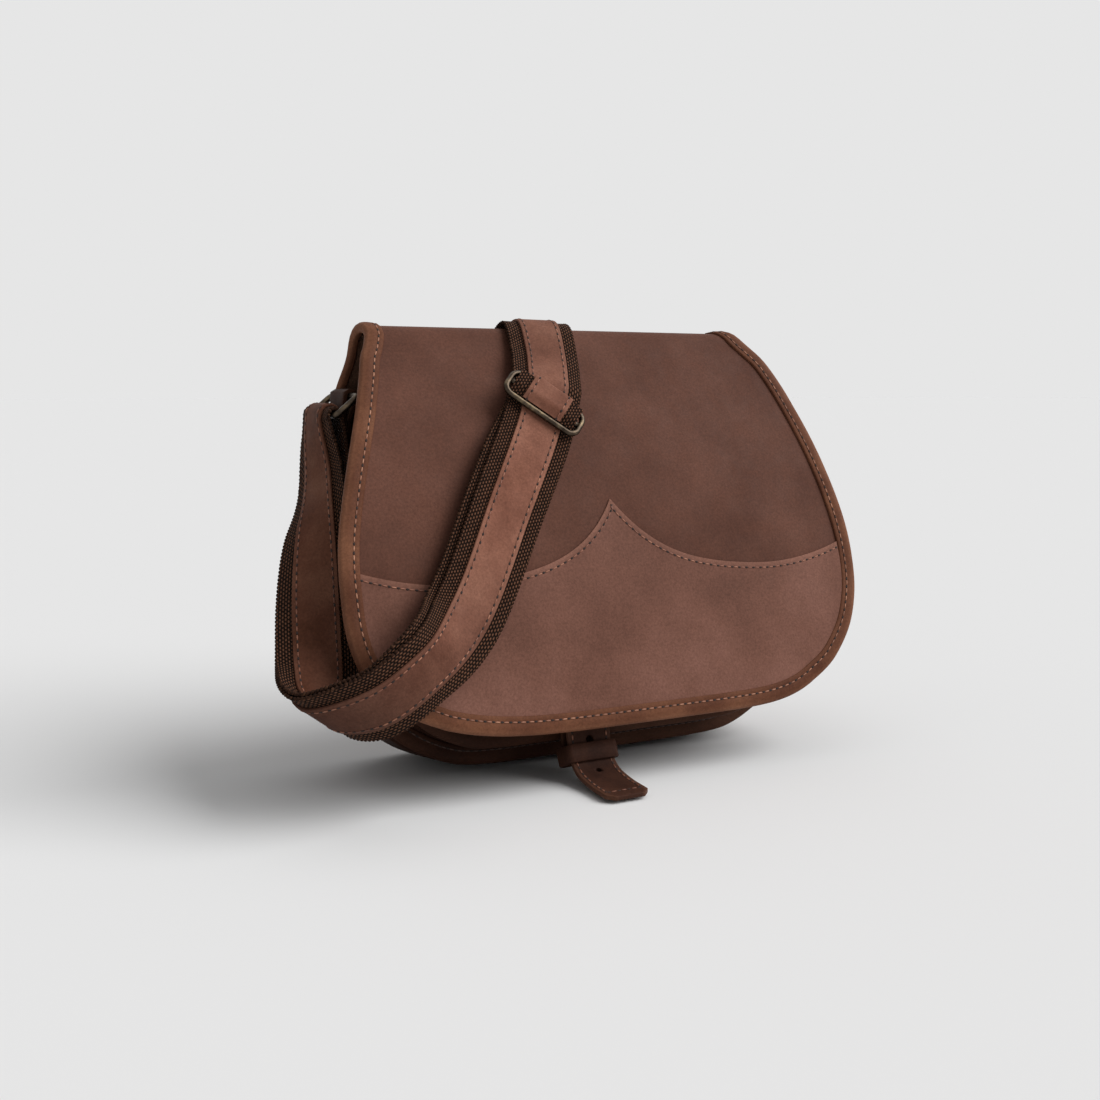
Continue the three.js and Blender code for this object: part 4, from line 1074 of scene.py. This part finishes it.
def strap_lines():
    """The doubled run between ring and slider, and the single run on over the top to the right ring."""
    line, along, face, shares = lay_out(DOUBLED, STEPS)
    off = (HALF_DOUBLE + (RING_SLACK - HALF_DOUBLE) * (1 - smooth(shares / LAYERS_MEET)))[:, None]
    shows, hides = (smooth((shares - start) / length) for start, length in (PEEK_SHOWS, PEEK_HIDES))
    peek = (PEEK * shows * (1 - hides))[:, None]
    side = unit(np.cross(along, face))
    under, over = line - face * off - side * peek, line + face * off
    turn, turn_face = round_bar(LEFT_BAR, -face[0])
    doubled = np.vstack([under[::-1], turn, over])
    doubled_face = np.vstack([-face[::-1], turn_face, face])
    single, _, single_face, _ = lay_out([(over[-1], face[-1])] + SINGLE, STEPS)
    end = single_face[-1]
    turn, turn_face = round_bar(RIGHT_BAR, end)
    tail = RIGHT_BAR + np.outer(-RING_SLACK + 1.2 * TAIL_DROPS / TAIL_DROPS[-1], end)
    tail += np.outer(TAIL_DROPS, TAIL_WAY)
    single = np.vstack([single, turn, tail])
    single_face = np.vstack([single_face, turn_face, np.tile(-end, (len(tail), 1))])
    return (doubled, doubled_face), (single, single_face)


STRIP_LIFT = WEBBING / 2 + STRIP / 2 + 0.1
STRIP_SEAM = 0.4 * STRIP_WIDTH


def make_band(name, hide, line, across, face, start=0.0):
    """Webbing, the leather strip sewn along its middle, and two rows of stitches."""
    frames = (line, across, face)
    web = ribbon_piece(name + "_webbing", frames, WEBBING_WIDTH, WEBBING, [WEB], columns=13, start=start)
    assign(web, "webbing")
    strip = ribbon_piece(name + "_strip", frames, STRIP_WIDTH, STRIP, [hide, FLESH], STRIP_LIFT, wear=0.3)
    assign(strip, "strap_leather")
    seams = twin_seams(*frames, STRIP_SEAM, STRIP_LIFT + STRIP / 2)
    return web, strip, *sew_seams(name, seams, RUBBED_THREAD)


def make_strap_run(name, hide, line, across, face, start):
    """A run of the strap with the turned cords at both edges of its webbing."""
    band = make_band(name, hide, line, across, face, start)
    beads = []
    for x in (-WEBBING_WIDTH / 2, WEBBING_WIDTH / 2):
        beads += seam_places(line + across * x, face, RIB_MM, 0)[0]
    return *band, sew(name + "_selvedge", beads, SELVEDGE_BEAD, CORD)


BACK_SPLIT = BACK_Y + 4.0
LEFT_OF_BAG = -140
RING_END = 42.0
TAIL_END = 84.0
SLIDER_END = 14.0
LAP = 0.4


def strap_runs():
    """The whole strap as one line, cut where what it moves with changes: name, frames and length so far."""
    (doubled, doubled_face), (single, single_face) = strap_lines()
    line, face = np.vstack([doubled, single[1:]]), np.vstack([doubled_face, single_face[1:]])
    both = resample(np.hstack([line, face]), int(run_lengths(line)[-1] / 2.6))
    line = both[:, :3]
    along = directions(line)
    face = square_to(both[:, 3:], along)
    across = unit(np.cross(along, face))
    length = run_lengths(line)
    at = lambda distance: int(np.argmax(length >= distance))
    turn = length[np.argmax(np.where(line[:, 0] < LEFT_OF_BAG, line[:, 2], 0))]
    slider = at(run_lengths(doubled)[-1] - SLIDER_END)
    behind = slider + int(np.argmax(line[slider:, 1] > BACK_SPLIT))
    cuts = [0, at(turn - RING_END), at(turn + RING_END), slider, behind, at(length[-1] - TAIL_END), len(line) - 1]
    names = ("strap_under", "strap_left_end", "strap_over", "strap_over_fold", "strap_behind", "strap_right_end")
    return {name: (*lap_ends(line[a:b + 1], across[a:b + 1], face[a:b + 1]), length[a] - LAP)
            for name, a, b in zip(names, cuts, cuts[1:])}


def lap_ends(line, *directions):
    """Lets a run's rounded ends sink into its neighbours, so that no groove shows where two runs meet."""
    start, end = unit(line[0] - line[1]) * LAP, unit(line[-1] - line[-2]) * LAP
    line = np.vstack([line[0] + start, line[0] - start, line[1:-1], line[-1] - end, line[-1] + end])
    return line, *(np.vstack([rows[:1], rows, rows[-1:]]) for rows in directions)


def pull_between(pieces):
    """Bakes each piece's placement into its own mesh."""
    for piece in pieces:
        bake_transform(piece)


def make_strap():
    # The under run and the left end get the darker strap leather, as painted shade
    hides = {"strap_under": STRAP_SHADED_LEATHER, "strap_left_end": STRAP_SHADED_LEATHER}
    made = {name: make_strap_run(name, hides.get(name, STRAP_LEATHER), *run) for name, run in strap_runs().items()}
    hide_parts("shoulder_webbing")
    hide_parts("shoulder_strip")
    pull_between(made["strap_left_end"])
    pull_between(made["strap_right_end"])
    for name in ("strap_under", "strap_over"):
        pull_between(made[name])
    blend_hide(*made["strap_over_fold"])
    ride_all("bag", *made["strap_behind"])


SLIDER_SKEW = math.radians(-16)
SLIDER_OPENING = (42.5, 12.0)
SLIDER_WIRE = 3.4
SLIDER_CORNER = 5
# The slider's place on the doubled run, as one of so many steps, and how far back from there it sits
SLIDER_STEP = 42
SLIDER_STEPS = 44
SLIDER_BACK = 3.0
# How far the strap's hump runs on before the bar and past the frame
HUMP_BEFORE = 5.2
HUMP_PAST = 2.6


def slider_frame():
    """The slider's middle on top of the strap, and its directions along, across and off it."""
    line, along, face, _ = (rows[SLIDER_STEP] for rows in lay_out(DOUBLED, SLIDER_STEPS))
    askew = np.array(Matrix.Rotation(SLIDER_SKEW, 3, Vector(face))) @ along
    top = HALF_DOUBLE + WEBBING / 2 + GAP + STRIP
    return line + face * top - askew * SLIDER_BACK, askew, unit(np.cross(askew, face)), face


def make_slider():
    centre, along, across, face = slider_frame()
    raised = centre + face * (GAP + SLIDER_WIRE / 2)
    outline = wire_rectangle(SLIDER_OPENING, SLIDER_WIRE, SLIDER_CORNER, raised, across, along)
    wire_piece("strap_slider_frame", "slider", outline, SLIDER_WIRE, "slider_frame", closed=True)
    half, far = ((side + SLIDER_WIRE) / 2 for side in SLIDER_OPENING)
    bar = [raised + across * x for x in np.linspace(-half + 1.4, half - 1.4, 24)]
    wire_piece("strap_slider_bar", "slider", bar, SLIDER_WIRE, "slider_bar", flat=STRAIGHT_WIRE)
    rise = lambda a: math.exp(-((a / 4) ** 2)) if a < 0 else 1 - 0.85 * smooth((a - far - 0.2) / HUMP_PAST)
    foot = GAP + WEBBING / 2
    line = np.array([centre + along * a + face * (foot + (SLIDER_WIRE + GAP) * rise(a))
                     for a in np.linspace(-HUMP_BEFORE, far + HUMP_PAST, 60)])
    sides = np.tile(across, (len(line), 1))
    normal = np.cross(sides, directions(line))
    normal *= np.sign((normal[0] * face).sum())
    hump = make_band("strap_hump", STRAP_LEATHER, line, sides, normal)
    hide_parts("slider_wrap")
    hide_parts("slider_wrap_strip")
    ride_all("slider", *hump)


# Closure

BILLET_LINE = [(-58, 98), (-59.6, 84), (-59.4, 68), (-59.4, 52), (-60.4, 37), (-62, 24), (-65, 14.5), (-72, 7.5),
               (-86, 4.2), (-104, 3.2)]
BILLET_TIP = 1.03
BILLET_TAPER = 0.34
TAPER_SHARE = 0.035
BILLET_SEAM = 0.4 * BILLET_WIDTH
TIP_SEAM = 9
TIP_ROW = -7
CHAPE_BACK = -7.0
CHAPE_ENDS = (0.26, 0.685)
BUCKLE_AT = 0.31
KEEPER_AT = 0.655
# Share down the billet, radius and how much longer than wide
BILLET_HOLES = ((0.17, 2.2, 1), (0.6, 2.2, 1), (0.755, 1.6, 1), (BUCKLE_AT + 0.012, 2.3, 3.2))
CHAPE_HOLES = ((BUCKLE_AT + 0.06, 2.3, 2.8),)


def billet_frames(shares):
    """Frames down the billet, also a little past its CAD tip: place, along, across and normal."""
    spots = [np.array([CLOSURE_X, y, z]) for y, z in BILLET_LINE]
    dense = np.array([centripetal(spots, t) for t in np.linspace(0, 1, 600)])
    targets = np.asarray(shares) * run_lengths(dense)[-1]
    dense = np.vstack([dense, dense[-1] + (dense[-1] - dense[-12]) * np.linspace(0.25, 3, 12)[:, None]])
    lengths = run_lengths(dense)
    line = values_at(targets, lengths, dense)
    along = unit(values_at(targets, lengths, directions(dense)))
    across = np.tile([1.0, 0, 0], (len(line), 1))
    return line, along, across, np.cross(along, across)


def billet_at(share):
    return [rows[0] for rows in billet_frames([share])]


def punch(piece, holes, lift=0.0):
    """Cuts round or slot-shaped holes through a strap and keeps the result."""
    for share, radius, stretch in holes:
        centre, along, across, normal = billet_at(share)
        bpy.ops.mesh.primitive_cylinder_add(vertices=24, radius=radius * MM, depth=9 * MM)
        tool = bpy.context.object
        turn = Matrix((across, along, np.cross(across, along))).transposed().to_4x4()
        turn.translation = Vector((centre + normal * lift) * MM)
        tool.data.transform(turn @ Matrix.Diagonal((1, stretch, 1, 1)))
        cut = piece.modifiers.new("hole", "BOOLEAN")
        cut.operation = "DIFFERENCE"
        cut.solver = "EXACT"
        cut.object = tool
        keep_result(piece)
        bpy.data.objects.remove(tool)


def make_billet():
    shares = np.linspace(0, BILLET_TIP, 110)
    line, _, across, normal = billet_frames(shares)
    width = BILLET_WIDTH * (1 - BILLET_TAPER * np.clip((shares - BILLET_TIP) / TAPER_SHARE + 1, 0, 1))
    piece = ribbon_piece("closure_billet_strap", (line, across, normal), width, BILLET, [CLOSURE_SHADED_LEATHER, FLESH],
                         wear=0.8)
    punch(piece, BILLET_HOLES)
    assign(piece, "binding_leather", "closure_billet")
    sides = (rows[2:TIP_ROW] for rows in (line, across, normal))
    seams = twin_seams(*sides, BILLET_SEAM, BILLET / 2)
    c, a, n = (rows[TIP_ROW] for rows in (line, across, normal))
    seams.append(([c + n * (BILLET / 2) + a * x for x in np.linspace(-TIP_SEAM, TIP_SEAM, 12)], [n] * 12))
    sewn = sew_seams("closure_billet", seams, RUBBED_THREAD)
    line, _, across, normal = billet_frames(np.linspace(*CHAPE_ENDS, 60))
    chape = ribbon_piece("buckle_chape", (line, across, normal), BILLET_WIDTH, CHAPE, [BODY_LEATHER, FLESH],
                         CHAPE_BACK)
    punch(chape, CHAPE_HOLES, CHAPE_BACK)
    assign(chape, "body_leather", "closure_chape")
    ride_all("flap", piece, *sewn, chape)


KEEPER_WALL = 1.0
KEEPER_TALL = 5.0


def make_keeper():
    c, t, a, n = billet_at(KEEPER_AT)
    outline = rounded_rectangle(BILLET_WIDTH / 2 + 1.6, CHAPE_BACK - 3.8, BILLET / 2 + 2.2, 2.2, 6)
    wall, tall = KEEPER_WALL, KEEPER_TALL
    section = [(wall, tall - 0.5), (wall - 0.5, tall), (-wall + 0.5, tall), (-wall, tall - 0.5), (-wall, -tall + 0.5),
               (-wall + 0.5, -tall), (wall - 0.5, -tall), (wall, -tall + 0.5), (wall + 0.15, 0)]
    rings = [[c + a * (x + ox * p) + n * (y + oy * p) + t * q for p, q in section]
             for (x, y), (ox, oy) in zip(outline, outward(outline, closed=True))]
    piece = swept_piece("closure_keeper_loop", rings, [CLOSURE_SHADED_LEATHER], closed=True)
    assign(piece, "binding_leather", "closure_keeper")
    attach(piece, "flap")


BUCKLE_WIRE = 3.0
BUCKLE_OPENING = (29, 20.0)
BUCKLE_CORNER = 4
BUCKLE_TILT = math.radians(17)
PRONG_WIRE = 2.3
PRONG_PAST = 2.4
PRONG_LIFT = 1.2
PRONG_EYE = 2.15
PRONG_EYE_WIRE = 1.4


def make_buckle():
    c, t, a, n = billet_at(BUCKLE_AT)
    tilt = np.array(Matrix.Rotation(BUCKLE_TILT, 3, Vector(a)))
    up, face = tilt @ -t, tilt @ n
    centre = c - n * 0.2
    outline = wire_rectangle(BUCKLE_OPENING, BUCKLE_WIRE, BUCKLE_CORNER, centre, a, up)
    wire_piece("closure_buckle", "flap", outline, BUCKLE_WIRE, "buckle_frame", closed=True)
    tall = BUCKLE_OPENING[1] + BUCKLE_WIRE
    heel = centre - up * tall / 2
    tip = heel + up * (tall + PRONG_PAST) + face * (BUCKLE_WIRE / 2 + GAP + PRONG_LIFT)
    toward = unit(tip - heel)
    side = np.cross(toward, a)
    eye = [heel + PRONG_EYE * (math.cos(t) * toward + math.sin(t) * side)
           for t in np.radians(np.linspace(20, 340, 20))]
    wire_piece("buckle_prong_eye", "prong", eye, PRONG_EYE_WIRE, sides=10)
    shank = [heel + toward * d for d in np.linspace(2.6, np.linalg.norm(tip - heel), 16)]
    wire_piece("buckle_prong_shank", "prong", shank, PRONG_WIRE, "buckle_prong", flat=STRAIGHT_WIRE)


# Radius and share of the depth, from the back to the front
POST_PROFILE = [(0.05, -2), (3.4, -2), (3.4, -1.2), (2.6, -0.4), (3.2, 0.6), (2.8, 1.6), (1.6, 1.95), (0.05, 2)]
SOCKET_PROFILE = [(4.7, -1.4), (5.6, -1.7), (6.2, -1.2), (6.3, 1.2), (5.8, 1.5), (4.7, 1.4)]


def turned_piece(name, node_name, profile, body):
    """A small turned metal part on the CAD node's own place, facing front."""
    low, high = (np.array(corner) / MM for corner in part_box(node_name))
    middle, deep = (low + high) / 2, (high[1] - low[1]) / 4
    rings = [[middle + [r * math.cos(t), -d * deep, r * math.sin(t)] for r, d in profile]
             for t in np.linspace(0, 2 * math.pi, 32, endpoint=False)]
    piece = swept_piece(name, rings, [BRASS], closed=True)
    assign(piece, "metal", node_name)
    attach(piece, body)


# Light and floor

def add_sun(name, azimuth, height, strength, softness):
    """A broad, even studio light."""
    data = bpy.data.lights.new(name, "SUN")
    data.energy = strength
    data.angle = math.radians(softness)
    add_object(name, data).rotation_euler = (math.radians(90 - height), 0, math.radians(azimuth))


def add_world():
    """A pale backdrop that is seen as it is, and lights the bag more dimly."""
    world = bpy.data.worlds.new("studio")
    bpy.context.scene.world = world
    world.use_nodes = True
    tree = world.node_tree
    add = partial(node, tree)
    dim = tree.nodes["Background"]
    feed(tree, dim, {"Color": (1, 1, 1, 1), "Strength": AMBIENT})
    pale = add("ShaderNodeBackground", linear(BACKDROP), 1.0)
    seen = add("ShaderNodeLightPath", out="Is Camera Ray")
    rays = seen.node.outputs
    for kind in ("Is Glossy Ray", "Is Transmission Ray"):
        seen = add("ShaderNodeMath", seen, rays[kind], operation="ADD", use_clamp=True)
    feed(tree, tree.nodes["World Output"], {0: add("ShaderNodeMixShader", seen, dim.outputs[0], pale)})


def matt_paper():
    """Seamless studio paper: plain, pale and without shine."""
    made = bpy.data.materials.new("matt_paper")
    made.use_nodes = True
    tree = made.node_tree
    feed(tree, tree.nodes["Material Output"], {0: node(tree, "ShaderNodeBsdfDiffuse", linear(PAPER))})
    return made


def add_stage():
    add_world()
    bpy.ops.mesh.primitive_plane_add(size=FLOOR_SIZE)
    floor = bpy.context.object
    floor.name = "studio_floor"
    floor.data.materials.append(matt_paper())
    add_sun("key_light", *KEY_LIGHT)
    add_sun("top_light", *TOP_LIGHT)


add_camera()
make_strap()
make_slider()
make_hide()
make_hide_binding()
make_yoke()
make_body()
for side, word in ((-1, "left"), (1, "right")):
    make_tab(side, word)
    make_ring(side, word)
make_billet()
make_keeper()
make_buckle()
turned_piece("press_stud_post", "stud_post", POST_PROFILE, "bag")
turned_piece("press_stud_socket", "stud_socket", SOCKET_PROFILE, "flap")
add_stage()

view = bpy.context.scene.view_settings
view.view_transform = "Standard"
